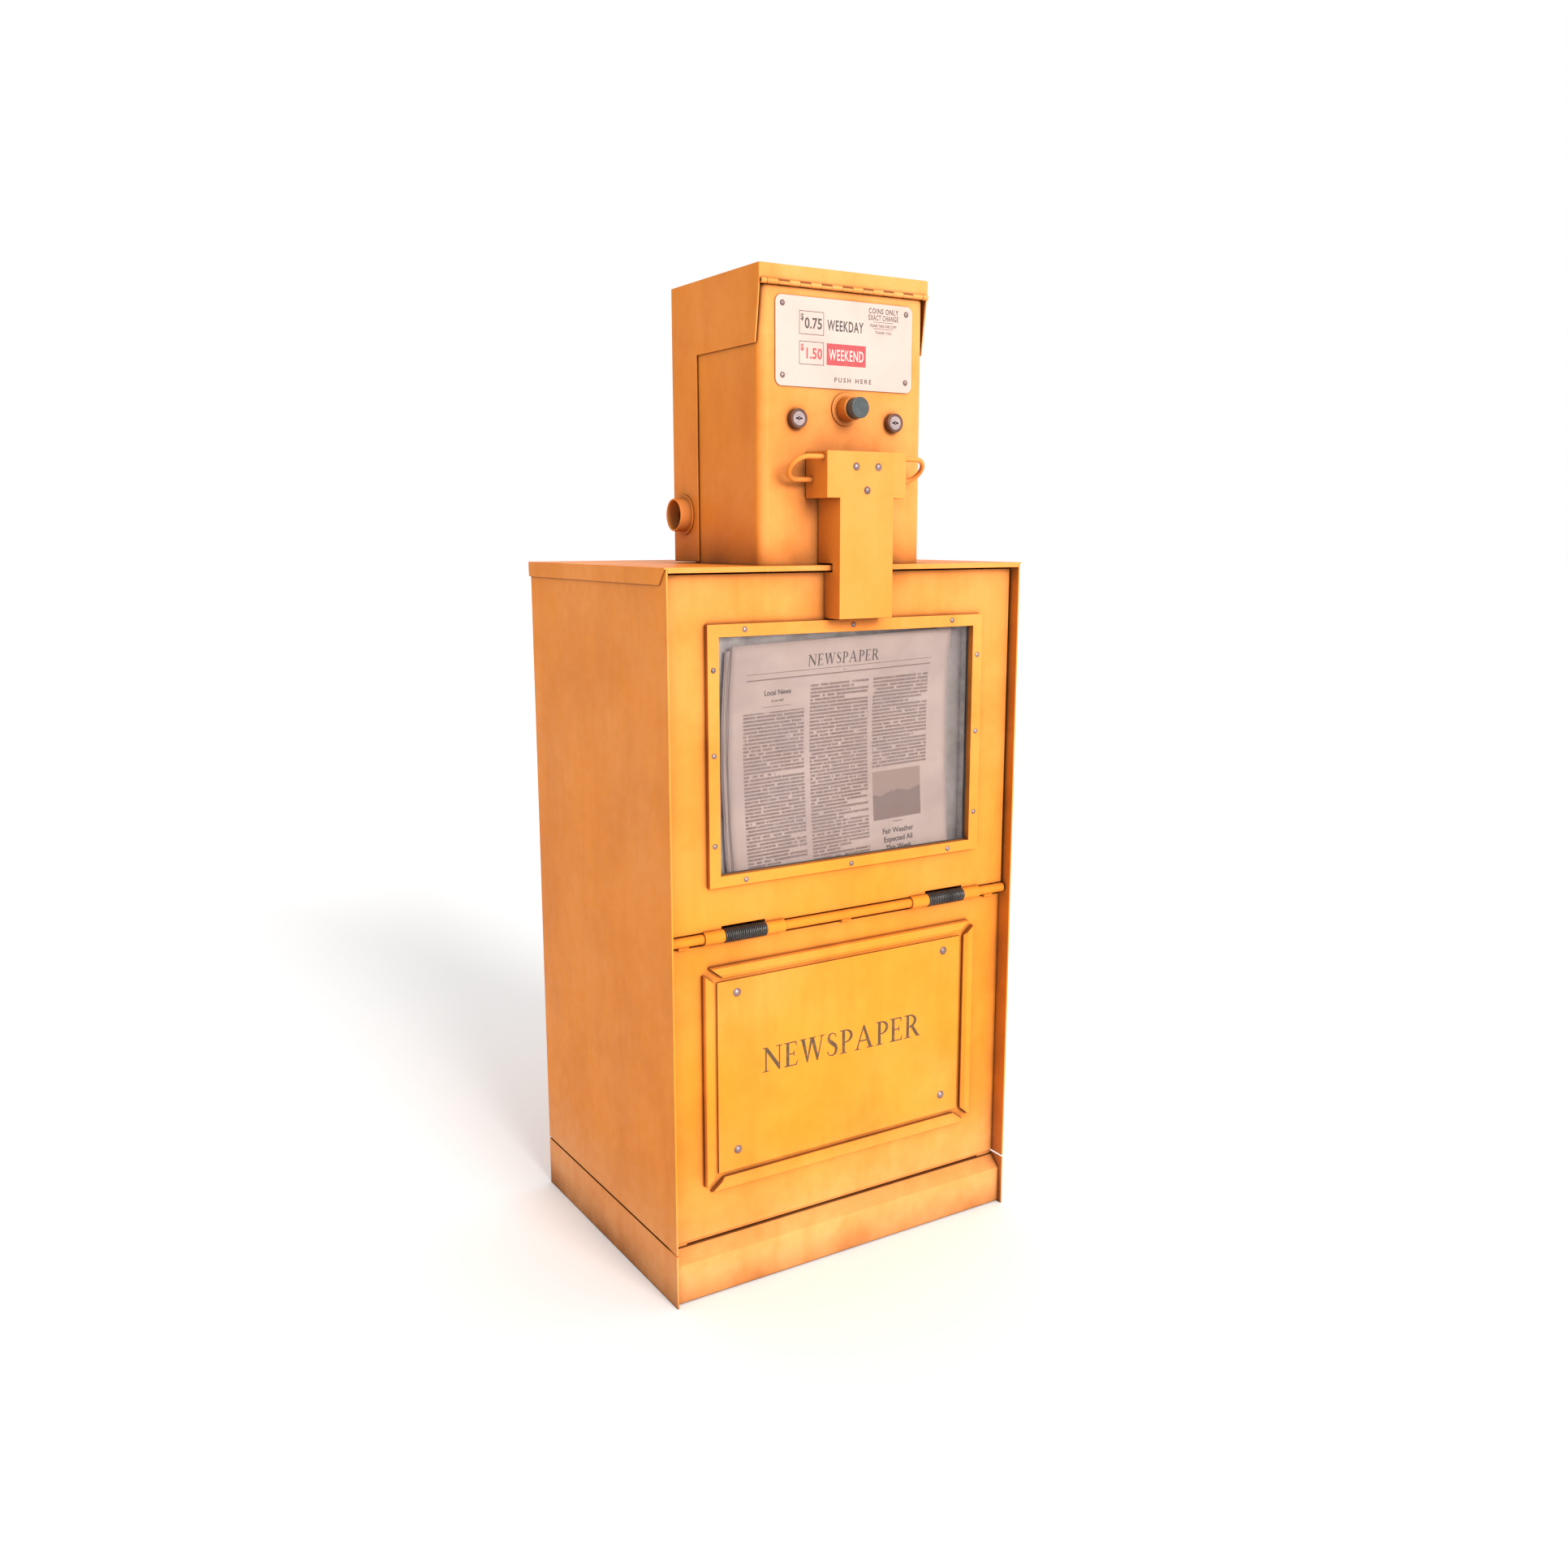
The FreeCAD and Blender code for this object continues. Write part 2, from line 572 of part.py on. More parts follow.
def make_spring(side, sign, centre):
    """A close wound torsion spring drawn as a sleeve with one ridge for each turn."""
    body = new_body(f"spring_{side}")
    sketch = new_sketch(body, "XY", centre[1])
    end_gap = 0.5
    near = cell.spring_near + end_gap
    turns = 22
    pitch = (cell.spring_far - cell.spring_near - 2 * end_gap) / turns
    crest, root = cell.spring_r, cell.spring_r - cell.coil_ridge
    inner = cell.rod_r + 0.3
    start = near * sign
    corners = [(start, centre[0] - inner)]
    for turn in range(turns):
        corners.append(((near + pitch * turn) * sign, centre[0] - root))
        corners.append(((near + pitch * (turn + 0.5)) * sign, centre[0] - crest))
    end = (near + pitch * turns) * sign
    corners += [(end, centre[0] - root), (end, centre[0] - inner)]
    draw_polygon(sketch, corners)
    axis_line = sketch.addGeometry(Part.LineSegment(
        Vector(number(start), number(centre[0]), 0), Vector(number(end), number(centre[0]), 0)), True)
    for point, x in ((1, start), (2, end)):
        hold(sketch, "DistanceX", axis_line, point, x)
        hold(sketch, "DistanceY", axis_line, point, centre[0])
    turned = body.newObject("PartDesign::Revolution", f"spring_{side}_turn")
    turned.Profile = sketch
    turned.ReferenceAxis = (sketch, ["Axis0"])
    turned.Angle = 360
    return body


# --- the door ------------------------------------------------------------------------------
def make_door():
    """A pan with a window: frame outside, gasket, pane and a retainer frame behind."""
    face = inward(cell.door_recess)
    window = rectangle(around(cell.window_half), (cell.window_low, cell.window_top))
    door = new_body("door_panel")
    tall = (cell.door_low, cell.door_top)
    pad(door, "XZ", (face, face + cell.door_pan), rectangle(around(cell.door_half), tall))
    pocket(door, "XZ", (face + cell.metal, face + cell.door_pan + 1),
           rectangle(around(cell.door_half - cell.metal), (tall[0] + cell.metal, tall[1] - cell.metal)))
    pocket(door, "XZ", (face - 1, face + cell.metal + 1), window)
    notch = (cell.spring_near - 1, cell.spring_far + 1)
    notch_high = 4
    pocket(door, "XZ", (face - 1, face + cell.door_pan + 1),
           *[rectangle(sorted((sign * notch[0], sign * notch[1]), key=number),
                       (cell.door_low - 1, cell.door_low + notch_high)) for sign in (-1, 1)])
    screws = window_screw_spots()
    holes = [(x, z, cell.screw_r + fit) for x, z in screws]
    drill(door, "XZ", (face - 1, face + cell.metal + 1), *holes)

    frame = new_body("window_frame")
    frame_front = face - cell.frame_proud
    pad(frame, "XZ", (frame_front, face),
        rectangle(around(cell.frame_half), (cell.frame_low, cell.frame_top)))
    pocket(frame, "XZ", (frame_front - 1, face + 1), window)
    hollow = cell.frame_metal
    pocket(frame, "XZ", (frame_front + hollow, face + 1),
           rectangle(around(cell.frame_half - hollow),
                     (cell.frame_low + hollow, cell.frame_top - hollow)),
           rectangle(around(cell.window_half + hollow),
                     (cell.window_low - hollow, cell.window_top + hollow)))
    drill(frame, "XZ", (frame_front - 1, frame_front + hollow + 1), *holes)

    lap = cell.glazing_lap
    pane_half, pane_low, pane_top = cell.window_half + lap, cell.window_low - lap, cell.window_top + lap
    behind = face + cell.metal
    pane_front = behind + cell.gasket
    pane_back = pane_front + cell.pane
    ring_frame("window_gasket", (behind, pane_front), (pane_half, pane_low, pane_top),
               (cell.window_half - 1, cell.window_low + 1, cell.window_top - 1))
    profile("window_pane", "XZ", (pane_front, pane_back),
            rectangle(around(pane_half), (pane_low, pane_top)))
    retainer = ring_frame("pane_retainer", (pane_back, pane_back + cell.retainer),
                          (cell.frame_half - 1, cell.frame_low + 1, cell.frame_top - 1),
                          (cell.window_half, cell.window_low, cell.window_top))
    drill(retainer, "XZ", (pane_back - 1, pane_back + cell.retainer + 1), *holes)
    head_r, head_high, reach = 3.3, 1.6, 14.6
    group("window_screws",
          *[screw_stack(f"window_screw_{i}", frame_front, head_r, head_high, cell.screw_r, reach, x, z)
            for i, (x, z) in enumerate(screws)])


def ring_frame(name, span, outer, inner):
    """A flat rectangular ring; outer and inner are (half width, low, top)."""
    body = new_body(name)
    pad(body, "XZ", span, rectangle(around(outer[0]), outer[1:]))
    pocket(body, "XZ", (span[0] - 1, span[1] + 1), rectangle(around(inner[0]), inner[1:]))
    return body


def window_screw_spots():
    far, side = cell.window_screw_far, cell.window_screw_x
    rows = [(x, z) for z in (cell.window_screw_high, cell.window_screw_down)
            for x in (-far, 0, far)]
    columns = [(sign * side, z) for sign in (-1, 1) for z in (760, 662.5, 557.5)]
    return rows + columns


def make_newspapers():
    """A bent tray behind the pane holds two folded papers, which lean a little to one side."""
    tray_back = inward(cell.holder_back)
    holder = new_body("display_holder")
    wide, low, thin = cell.holder_half, cell.holder_low, cell.holder_metal
    pad(holder, "XZ", (tray_back, tray_back + thin), rectangle(around(wide), (low, cell.holder_top)))
    ledge_front = inward(cell.holder_front)
    pad(holder, "XY", (low, low + thin), rectangle(around(wide), (ledge_front, tray_back)))
    for sides in ((-wide, -wide + thin), (wide - thin, wide)):
        pad(holder, "XY", (low, cell.holder_top), rectangle(sides, (ledge_front, tray_back)))

    papers = []
    for label, shift, drop, depth in (("front", 0, 0, cell.paper_front),
                                      ("back", -5, 5, cell.paper_next)):
        sheet_block = block(f"paper_{label}", (-cell.paper_wide / 2, cell.paper_wide / 2),
                            (inward(depth), inward(depth) + cell.paper_thick),
                            (-cell.paper_tall / 2, cell.paper_tall / 2 - drop * 2))
        leaned = doc.addObject("Part::Compound", f"newspaper_{label}")
        leaned.Links = [sheet_block]
        leaned.Placement = Placement(Vector(), Rotation(Vector(0, 1, 0), -cell.paper_lean.value))
        bind(leaned, "Placement.Base.x", shift)
        bind(leaned, "Placement.Base.z", cell.paper_level)
        papers.append(leaned)
    group("newspapers", *papers)


def tee(grow):
    """The outline of the handle cover, a T drawn in by grow all round."""
    arm, stem = cell.tee_half - grow, cell.stem_half - grow
    low, high, foot = cell.tee_low + grow, cell.tee_top - grow, cell.stem_low + grow
    return [(-stem, foot), (stem, foot), (stem, low), (arm, low), (arm, high), (-arm, high),
            (-arm, low), (-stem, low)]


def make_handle():
    """A T shaped sheet box over the latch, with two rod loops to pull the door by."""
    face = inward(-cell.tee_out)
    cover = new_body("handle_cover")
    deep = inward(cell.tee_back)
    pad(cover, "XZ", (face, deep), tee(0))
    pocket(cover, "XZ", (face + cell.metal, deep + 1), tee(cell.metal))
    over_lid = cell.cabinet_height + 2
    under_lid = cell.cabinet_height - 8
    reach = around(cell.tee_half + 5)
    pocket(cover, "YZ", reach,
           [(inward(cell.door_recess), cell.stem_low - 5), (inward(cell.door_recess), under_lid),
            (inward(-3), under_lid), (inward(-3), over_lid), (deep + 5, over_lid),
            (deep + 5, cell.stem_low - 5)])
    rivets = [(-cell.handle_rivet_x, cell.handle_rivet_high),
              (cell.handle_rivet_x, cell.handle_rivet_high), (0, cell.handle_rivet_low)]
    holes = [(x, z, cell.handle_rivet_r + 0.1) for x, z in rivets]
    drill(cover, "XZ", (face - 1, face + cell.metal + 1), *holes)
    head_r, head_high, reach = 4.6, 2.6, 6
    group("handle_rivets",
          *[screw_stack(f"handle_rivet_{i}", face, head_r, head_high, cell.handle_rivet_r, reach, x, z)
            for i, (x, z) in enumerate(rivets)])

    keeper_y = face + cell.metal
    keeper_back = keeper_y + 3
    keeper = new_body("latch_keeper")
    pad(keeper, "XZ", (keeper_y, keeper_back), rectangle((-24, 24), (953, 999)))
    drill(keeper, "XZ", (keeper_y - 1, keeper_back + 1), *holes)
    low, top, notch = cell.tongue_low, cell.tongue_top, cell.tongue_notch
    hook_y, past_y, end_y = inward(cell.hook_front), inward(cell.hook_rear), inward(cell.tongue_end)
    pad(keeper, "YZ", (-3, 3),
        [(keeper_back, low), (keeper_back, top), (hook_y, top), (hook_y, notch), (past_y, notch),
         (past_y, top), (end_y, top), (end_y, low)])

    group("handle_loops", make_loop("left", -1), make_loop("right", 1))


def make_loop(side, sign):
    """A rod bent to a U: two legs out of the cover's side joined by a half ring."""
    top = Vector(0, number(inward(cell.loop_front)), number(cell.loop_high))
    foot = Vector(0, number(inward(cell.loop_back)), number(cell.loop_down))
    bend_r = (top - foot).Length / 2
    wall = sign * (number(cell.tee_half) - 1)
    bend = sign * (number(cell.tee_half) + number(cell.loop_reach) - bend_r)
    tip = Vector(bend + sign * bend_r, 0, 0) + (top + foot) / 2
    out = Vector(1, 0, 0)
    path = Part.Wire([Part.LineSegment(top + out * wall, top + out * bend).toShape(),
                      Part.Arc(top + out * bend, tip, foot + out * bend).toShape(),
                      Part.LineSegment(foot + out * bend, foot + out * wall).toShape()])
    section = Part.Wire(Part.makeCircle(number(cell.loop_r), top + out * wall, out))
    loop = doc.addObject("Part::Feature", f"loop_{side}")
    loop.Shape = path.makePipeShell([section], True, True)
    outside = block(f"loop_{side}_trim",
                    (cell.tee_half, cell.tee_half + 60) if sign > 0
                    else (-cell.tee_half - 60, -cell.tee_half),
                    (inward(-40), inward(50)), (cell.tee_low, cell.tee_top + 20))
    trimmed = doc.addObject("Part::Common", f"handle_loop_{side}")
    trimmed.Base = loop
    trimmed.Tool = outside
    return trimmed


# --- coin housing --------------------------------------------------------------------------
def make_housing():
    """The fixed front and sides are one sheet with rounded corners, open above and behind."""
    base = block("housing_base_blank", around(cell.face_half - cell.metal - fit),
                 (inward(cell.face_in + cell.face_round + 1), inward(cell.face_back)),
                 (cell.cabinet_height, cell.cabinet_height + cell.metal))
    holes = [bar(f"housing_base_hole_{i}", cell.bolt_hole_r, "z",
                 (cell.cabinet_height - 1, cell.cabinet_height + 5), spot)
             for i, spot in enumerate(housing_bolt_spots())]
    cut("housing_base_plate", base, *holes)

    wrap = new_body("coin_housing")
    face, rear = inward(cell.face_in), inward(cell.face_back)
    out, inner = cell.face_half, cell.face_half - cell.metal
    pad(wrap, "XY", (cell.cabinet_height, cell.face_top), rectangle(around(out), (face, rear)))
    corner_x = number(out)
    face_y = number(face)
    round_edges(wrap, cell.face_round,
                lambda box: box.ZLength > 100 and abs(abs(box.XMin) - corner_x) < 0.1
                and abs(box.YMin - face_y) < 0.1)
    hollow_front = face + cell.metal
    bend = cell.face_round - cell.metal
    pocket(wrap, "XY", (cell.cabinet_height - 1, cell.face_top + 1),
           [(bend - inner, hollow_front), (inner - bend, hollow_front), (inner, hollow_front + bend),
            (inner, rear + 1), (-inner, rear + 1), (-inner, hollow_front + bend)])
    pocket(wrap, "XZ", (face - 1, hollow_front + 1),
           rectangle((-5, 5), (cell.latch_slot_low, cell.latch_slot_top)))
    holes = [(sign * cell.lock_x, cell.lock_level, cell.barrel_r + 0.1) for sign in (-1, 1)]
    holes.append((0, cell.plunger_level, cell.neck_r + 1.2))
    card_holes = [(x, z, cell.card_hole_r) for x, z in card_rivets()]
    holes += card_holes
    drill(wrap, "XZ", (face - 1, hollow_front + 1), *holes)

    card = new_body("price_card")
    card_face = face - cell.card_thick
    pad(card, "XZ", (card_face, face),
        rectangle(around(cell.card_half), (cell.card_low, cell.card_top)))
    round_edges(card, cell.card_round,
                lambda box: abs(box.YLength - cell.card_thick.value) < 0.1)
    drill(card, "XZ", (card_face - 1, face + 1), *card_holes)
    head_r, head_high, shank_r, reach = 3.4, 1.8, 1.8, 6
    group("price_card_rivets",
          *[screw_stack(f"card_rivet_{i}", card_face, head_r, head_high, shank_r, reach, x, z)
            for i, (x, z) in enumerate(card_rivets())])


def card_rivets():
    return [(sign * cell.card_rivet_x, z) for sign in (-1, 1)
            for z in (cell.card_rivet_low, cell.card_rivet_high)]


def make_hood():
    """Top, back and side flaps in one shell, hinged along the top of the face."""
    hood = new_body("hood_shell")
    lip_low = cell.total_height - cell.hood_lip
    lip = inward(cell.hood_in)
    rear = lip + cell.hood_depth
    pad(hood, "YZ", around(cell.hood_half),
        [(lip, cell.total_height), (lip, lip_low), (inward(cell.flap_in), cell.flap_low),
         (inward(cell.seam_in), cell.flap_low), (inward(cell.seam_in), cell.hood_low),
         (rear, cell.hood_low), (rear, cell.total_height)])
    metal = cell.metal
    pocket(hood, "YZ", around(cell.hood_half - metal),
           [(lip + metal, cell.total_height - metal), (rear - metal, cell.total_height - metal),
            (rear - metal, cell.hood_low - 5), (lip - 5, cell.hood_low - 5), (lip - 5, lip_low),
            (lip + metal, lip_low)])
    drill(hood, "YZ", (-cell.hood_half - 1, -cell.hood_half + metal + 1),
          (inward(cell.cup_in), cell.cup_level, cell.cup_bore_r))
    slot_y = inward(cell.slot_in)
    slot_half, slot_reach, ledge = 1.6, 14.5, 0.2
    pocket(hood, "XY", (cell.total_height - metal - 1, cell.total_height + 1),
           rectangle((cell.slot_x - slot_half - ledge, cell.slot_x + slot_half + ledge),
                     (slot_y - slot_reach - ledge * 2.5, slot_y + slot_reach + ledge * 2.5)))

    entry = new_body("coin_entry_plate")
    entry_half, entry_reach, entry_thick = 18, 30, 1.5
    pad(entry, "XY", (cell.total_height, cell.total_height + entry_thick),
        rectangle((cell.slot_x - entry_half, cell.slot_x + entry_half),
                  (slot_y - entry_reach, slot_y + entry_reach)))
    pocket(entry, "XY", (cell.total_height - 1, cell.total_height + entry_thick + 1),
           rectangle((cell.slot_x - slot_half, cell.slot_x + slot_half),
                     (slot_y - slot_reach, slot_y + slot_reach)))

    wall = -cell.hood_half
    centre = (inward(cell.cup_in), cell.cup_level)
    flange = bar("cup_flange", cell.cup_flange_r, "x", (wall - 2, wall), centre)
    tube = bar("cup_tube", cell.cup_r, "x", (wall - cell.cup_out, wall), centre)
    bore = bar("cup_bore", cell.cup_bore_r, "x", (wall - cell.cup_out - 1, wall + 1), centre)
    cut("coin_return_cup", fuse("cup_outside", flange, tube), bore)

    bars = []
    level = (cell.lock_level - 6, cell.lock_level + 6)
    inner, outer = cell.latch_bar_x, cell.latch_bar_x + cell.latch_bar
    hook, tab = inner - 24, inner - 18
    bar_front, bar_rear = inward(50), rear - metal
    for side, sign in (("left", -1), ("right", 1)):
        bar_body = new_body(f"latch_bar_{side}")
        for near, far, deep in ((inner, outer, (bar_front, bar_rear)),
                                (hook, inner, (bar_front, bar_front + cell.latch_bar)),
                                (tab, inner, (bar_rear - metal, bar_rear))):
            pad(bar_body, "XY", level,
                rectangle(sorted((sign * near, sign * far), key=number), deep))
        bars.append(bar_body)
    group("hood_latch_bars", *bars)


def make_piano_hinge():
    """Fifteen knuckles on one pin, alternately on the face's leaf and on the hood's."""
    knuckles = 15
    pitch = cell.hinge_half * 2 / knuckles
    centre = (inward(cell.pin_in), cell.pin_level)
    bar("hinge_pin", cell.pin_r, "x", around(cell.hinge_half), centre)
    lower, upper = [], []
    leaf_back = inward(cell.face_in) + cell.metal
    hood_back = inward(cell.hood_in) + cell.metal
    leaf, gap = 1.2, 0.15
    lower.append(block("leaf_low_strip", around(cell.hinge_half - 8), (leaf_back, leaf_back + leaf),
                       (cell.pin_level - 16, cell.pin_level)))
    upper.append(block("leaf_up_strip", around(cell.hinge_half), (hood_back, hood_back + leaf),
                       (cell.pin_level + cell.knuckle_r + 0.4, cell.pin_level + 15)))
    for index in range(knuckles):
        left = -cell.hinge_half + pitch * index + gap
        right = left + pitch - 2 * gap
        barrel = bar(f"barrel_{index}", cell.knuckle_r, "x", (left, right), centre)
        if index % 2 == 0:
            tab = block(f"tab_{index}", (left, right), (centre[0], leaf_back + 0.5),
                        (cell.pin_level - cell.knuckle_r, cell.pin_level))
            lower += [barrel, tab]
        else:
            tab = block(f"tab_{index}", (left, right), (hood_back, hood_back + leaf),
                        (cell.pin_level, cell.pin_level + cell.knuckle_r + 1))
            neck = block(f"neck_{index}", (left, right), (centre[0], hood_back + 0.5),
                         (cell.pin_level, cell.pin_level + cell.knuckle_r))
            upper += [barrel, tab, neck]
    span = around(cell.hinge_half + 2)
    cut("hinge_leaf_lower", fuse("leaf_low_whole", *lower),
        bar("leaf_low_bore", cell.pin_r, "x", span, centre))
    cut("hinge_leaf_upper", fuse("leaf_up_whole", *upper),
        bar("leaf_up_bore", cell.pin_r + cell.running, "x", span, centre))


def make_locks():
    """Two cam locks; each plug turns a quarter turn and carries its cam behind the face."""
    face = inward(cell.face_in)
    rim_face, plug_face, keyway_end = face - 8.5, face - 8.2, face - 4
    before = face - 10
    barrel_end, plug_end, cam_end = face + 22, face + 24.5, face + 27.5
    bodies = []
    for side, sign in (("left", -1), ("right", 1)):
        x = sign * cell.lock_x
        centre = (x, cell.lock_level)
        rim = bar(f"lock_rim_{side}", cell.lock_r, "y", (rim_face, face), centre)
        barrel = bar(f"lock_barrel_{side}", cell.barrel_r, "y", (face, barrel_end), centre)
        bore = bar(f"lock_bore_{side}", cell.plug_r + cell.running, "y",
                   (before, barrel_end + 2), centre)
        bodies.append(cut(f"lock_body_{side}", fuse(f"lock_outside_{side}", rim, barrel), bore))
        nut = doc.addObject("Part::Prism", f"lock_nut_blank_{side}")
        nut.Polygon = 6
        nut.Placement = Placement(Vector(), ALONG["y"])
        bind(nut, "Circumradius", cell.lock_r + 3)
        nut.Height = 4
        for axis, size in zip("xyz", (x, face + cell.metal, cell.lock_level)):
            bind(nut, f"Placement.Base.{axis}", size)
        hole = bar(f"lock_nut_hole_{side}", cell.barrel_r, "y", (face, face + 10), centre)
        bodies.append(cut(f"lock_nut_{side}", nut, hole))

        plug = bar(f"plug_round_{side}", cell.plug_r, "y", (plug_face, plug_end), centre)
        keyway = block(f"keyway_{side}", (x - 4.5, x + 4.5), (before, keyway_end),
                       (cell.lock_level - 0.8, cell.lock_level + 0.8))
        post_hole = bar(f"post_hole_{side}", 1.9, "y", (before, keyway_end), centre)
        post = bar(f"post_{side}", 0.9, "y", (rim_face - 0.1, keyway_end + 0.1), centre)
        fuse(f"lock_plug_{side}", cut(f"plug_slotted_{side}", plug, keyway, post_hole), post)

        cam = new_body(f"lock_cam_{side}")
        wide, head, shoulder, tip = 6, 7, 24, 28
        level = cell.lock_level
        pad(cam, "XZ", (plug_end, cam_end),
            [(x - wide, level + head), (x + wide, level + head), (x + wide, level - shoulder),
             (x + wide / 2, level - tip), (x - wide / 2, level - tip),
             (x - wide, level - shoulder)])
    group("lock_bodies", *bodies)


def make_plunger():
    """The coin return plunger slides in a boss and works a hanging lever."""
    face = inward(cell.face_in)
    centre = (0, cell.plunger_level)
    flange = bar("boss_flange", cell.flange_r, "y", (face - 2, face), centre)
    boss = bar("boss_tube", cell.boss_r, "y", (face - cell.boss_long, face), centre)
    sleeve = bar("boss_sleeve", cell.neck_r + 1.2, "y", (face, face + 4), centre)
    bore = bar("boss_bore", cell.neck_r + cell.running, "y",
               (face - cell.boss_long - 1, face + 6), centre)
    cut("return_collar", fuse("boss_whole", flange, boss, sleeve), bore)

    tip = face - cell.head_out
    rest_gap = cell.travel + 0.5
    head = bar("plunger_head", cell.head_r, "y", (tip, face - cell.boss_long - rest_gap), centre)
    neck = bar("plunger_neck", cell.neck_r, "y", (tip + 2, face + 1), centre)
    nose_y = inward(cell.lever_in) - cell.lever_gap - cell.stem_r
    stem = bar("plunger_stem", cell.stem_r, "y", (face, nose_y), centre)
    nose = doc.addObject("Part::Sphere", "plunger_nose")
    bind(nose, "Radius", cell.stem_r)
    for axis, size in zip("xyz", (centre[0], nose_y, centre[1])):
        bind(nose, f"Placement.Base.{axis}", size)
    fuse("return_plunger", head, neck, stem, nose)
    ring("plunger_spring", cell.stem_r + 3, cell.stem_r + 0.6, "y",
         (face + 1.1, inward(cell.spring_seat_in)), centre)

    pivot_y, pivot_z = inward(cell.lever_in), cell.lever_level
    lever_face = pivot_y - cell.lever_gap + 0.4
    foot = cell.plunger_level - 12
    boss = 6
    lever = new_body("return_lever")
    pad(lever, "YZ", (-8, 8),
        [(lever_face, foot), (pivot_y, foot), (pivot_y + boss, pivot_z - boss),
         (pivot_y + boss, pivot_z + boss), (lever_face, pivot_z + boss)])
    drill(lever, "YZ", (-9, 9), (pivot_y, pivot_z, cell.metal + cell.running))


def make_mechanism():
    """The plate that carries the coin works, the chutes, the cash tray and the door latch."""
    plate = new_body("mech_plate")
    near_x = cell.plate_x
    far_x = near_x + cell.metal
    floor_low = cell.cabinet_height + cell.metal
    floor_top = floor_low + cell.metal
    pad(plate, "YZ", (near_x, far_x), rectangle((inward(45), inward(225)), (floor_low, 1178)))
    pad(plate, "XY", (floor_low, floor_top),
        rectangle((far_x, far_x + 32), (inward(75), inward(150))))
    seat_y = inward(cell.spring_seat_in)
    seat = pad(plate, "XZ", (seat_y, seat_y + cell.metal), rectangle((-14, near_x), (1040, 1066)))
    drill(seat, "XZ", (seat_y - 1, seat_y + cell.metal + 1),
          (0, cell.plunger_level, cell.stem_r + 0.6))

    x, y = cell.slot_x, inward(cell.slot_in)
    thin = 1.5
    chute = tube_block("coin_drop_chute", (x - 8, x + 8), (y - 20, y + 20),
                       (cell.chute_low, cell.total_height - 5), thin)
    trough = new_body("coin_return_trough")
    low_x, high_x = -106, -18
    low, high, deep = cell.trough_low, cell.trough_high, cell.trough_deep
    across = (inward(cell.cup_in) - 15, inward(cell.cup_in) + 15)
    pad(trough, "XZ", across, [(low_x, low), (high_x, high), (high_x, high + deep),
                               (low_x, low + deep)])
    pocket(trough, "XZ", (across[0] + thin, across[1] - thin),
           [(low_x - 1, low + thin), (high_x + 1, high + thin),
            (high_x + 1, high + deep + 2), (low_x - 1, low + deep + 2)])
    group("coin_chutes", chute, trough)

    tube_block("coin_rejector", (x - 20, x + 20), (y - 24, y + 30),
               (cell.rejector_low, cell.chute_low - 2), cell.metal)
    tray = new_body("cash_tray")
    sides = (-78, 18)
    along = (inward(95), inward(180))
    pad(tray, "XY", (floor_top, floor_top + cell.tray_high), rectangle(sides, along))
    pocket(tray, "XY", (floor_top + thin, floor_top + cell.tray_high + 6),
           rectangle((sides[0] + thin, sides[1] - thin), (along[0] + thin, along[1] - thin)))

    behind_face = inward(cell.face_in) + cell.metal
    foot_span = (behind_face, behind_face + cell.metal)
    arm_front = inward(31)

    latch_y, latch_z = inward(cell.latch_in), cell.latch_level
    cheeks = [block(f"latch_cheek_{i}", (low_x, low_x + cell.metal), (arm_front, latch_y + 10),
                    (latch_z - 12, latch_z + 12))
              for i, low_x in enumerate((-10, 8))]
    foot = block("latch_foot", (-16, 16), foot_span, (latch_z - 34, latch_z + 18))
    window = block("latch_window", (-5, 5), (inward(20), inward(40)),
                   (cell.latch_slot_low, cell.latch_slot_top))
    hole = bar("latch_pin_hole", cell.bolt_r, "x", (-12, 12), (latch_y, latch_z))

    lever_y, lever_z = inward(cell.lever_in), cell.lever_level
    arms = [block(f"lever_arm_{i}", (low_x, low_x + cell.metal), (arm_front, lever_y + 6),
                  (lever_z - 6, lever_z + 6))
            for i, low_x in enumerate((-11, 9))]
    lever_foot = block("lever_foot", (-11, 11), foot_span, (lever_z - 8, lever_z + 8))
    lever_hole = bar("lever_pin_hole", cell.metal, "x", (-13, 13), (lever_y, lever_z))
    group("pivot_brackets", cut("latch_bracket", fuse("latch_frame", *cheeks, foot), window, hole),
          cut("lever_bracket", fuse("lever_frame", *arms, lever_foot), lever_hole))
    group("pivot_pins", bar("latch_pin", cell.bolt_r, "x", (-11, 11), (latch_y, latch_z)),
          bar("lever_pin", cell.metal, "x", (-12, 12), (lever_y, lever_z)))
    make_latch()


def make_latch():
    """A hooked lever above the keeper's tongue, drawn hooked and then lifted to its rest."""
    tip, throat, nose_low = -34, -28, -15.5
    latch = new_body("door_latch")
    pad(latch, "YZ", (-3, 3),
        [(tip, nose_low), (throat, nose_low), (throat, -6), (4, -7), (9, 0), (6, 7), (throat, 6),
         (tip, 2)])
    drill(latch, "YZ", (-4, 4), (0, 0, cell.bolt_r + cell.running))
    latch.Placement = Placement(Vector(), Rotation(Vector(1, 0, 0), -cell.latch_lift.value))
    bind(latch, "Placement.Base.y", inward(cell.latch_in))
    bind(latch, "Placement.Base.z", cell.latch_level)


def tube_block(name, xs, ys, zs, wall):
    """A square duct open at the top and the bottom."""
    return cut(name, block(f"{name}_outside", xs, ys, zs),
               block(f"{name}_inside", (xs[0] + wall, xs[1] - wall), (ys[0] + wall, ys[1] - wall),
                     (zs[0] - 1, zs[1] + 1)))


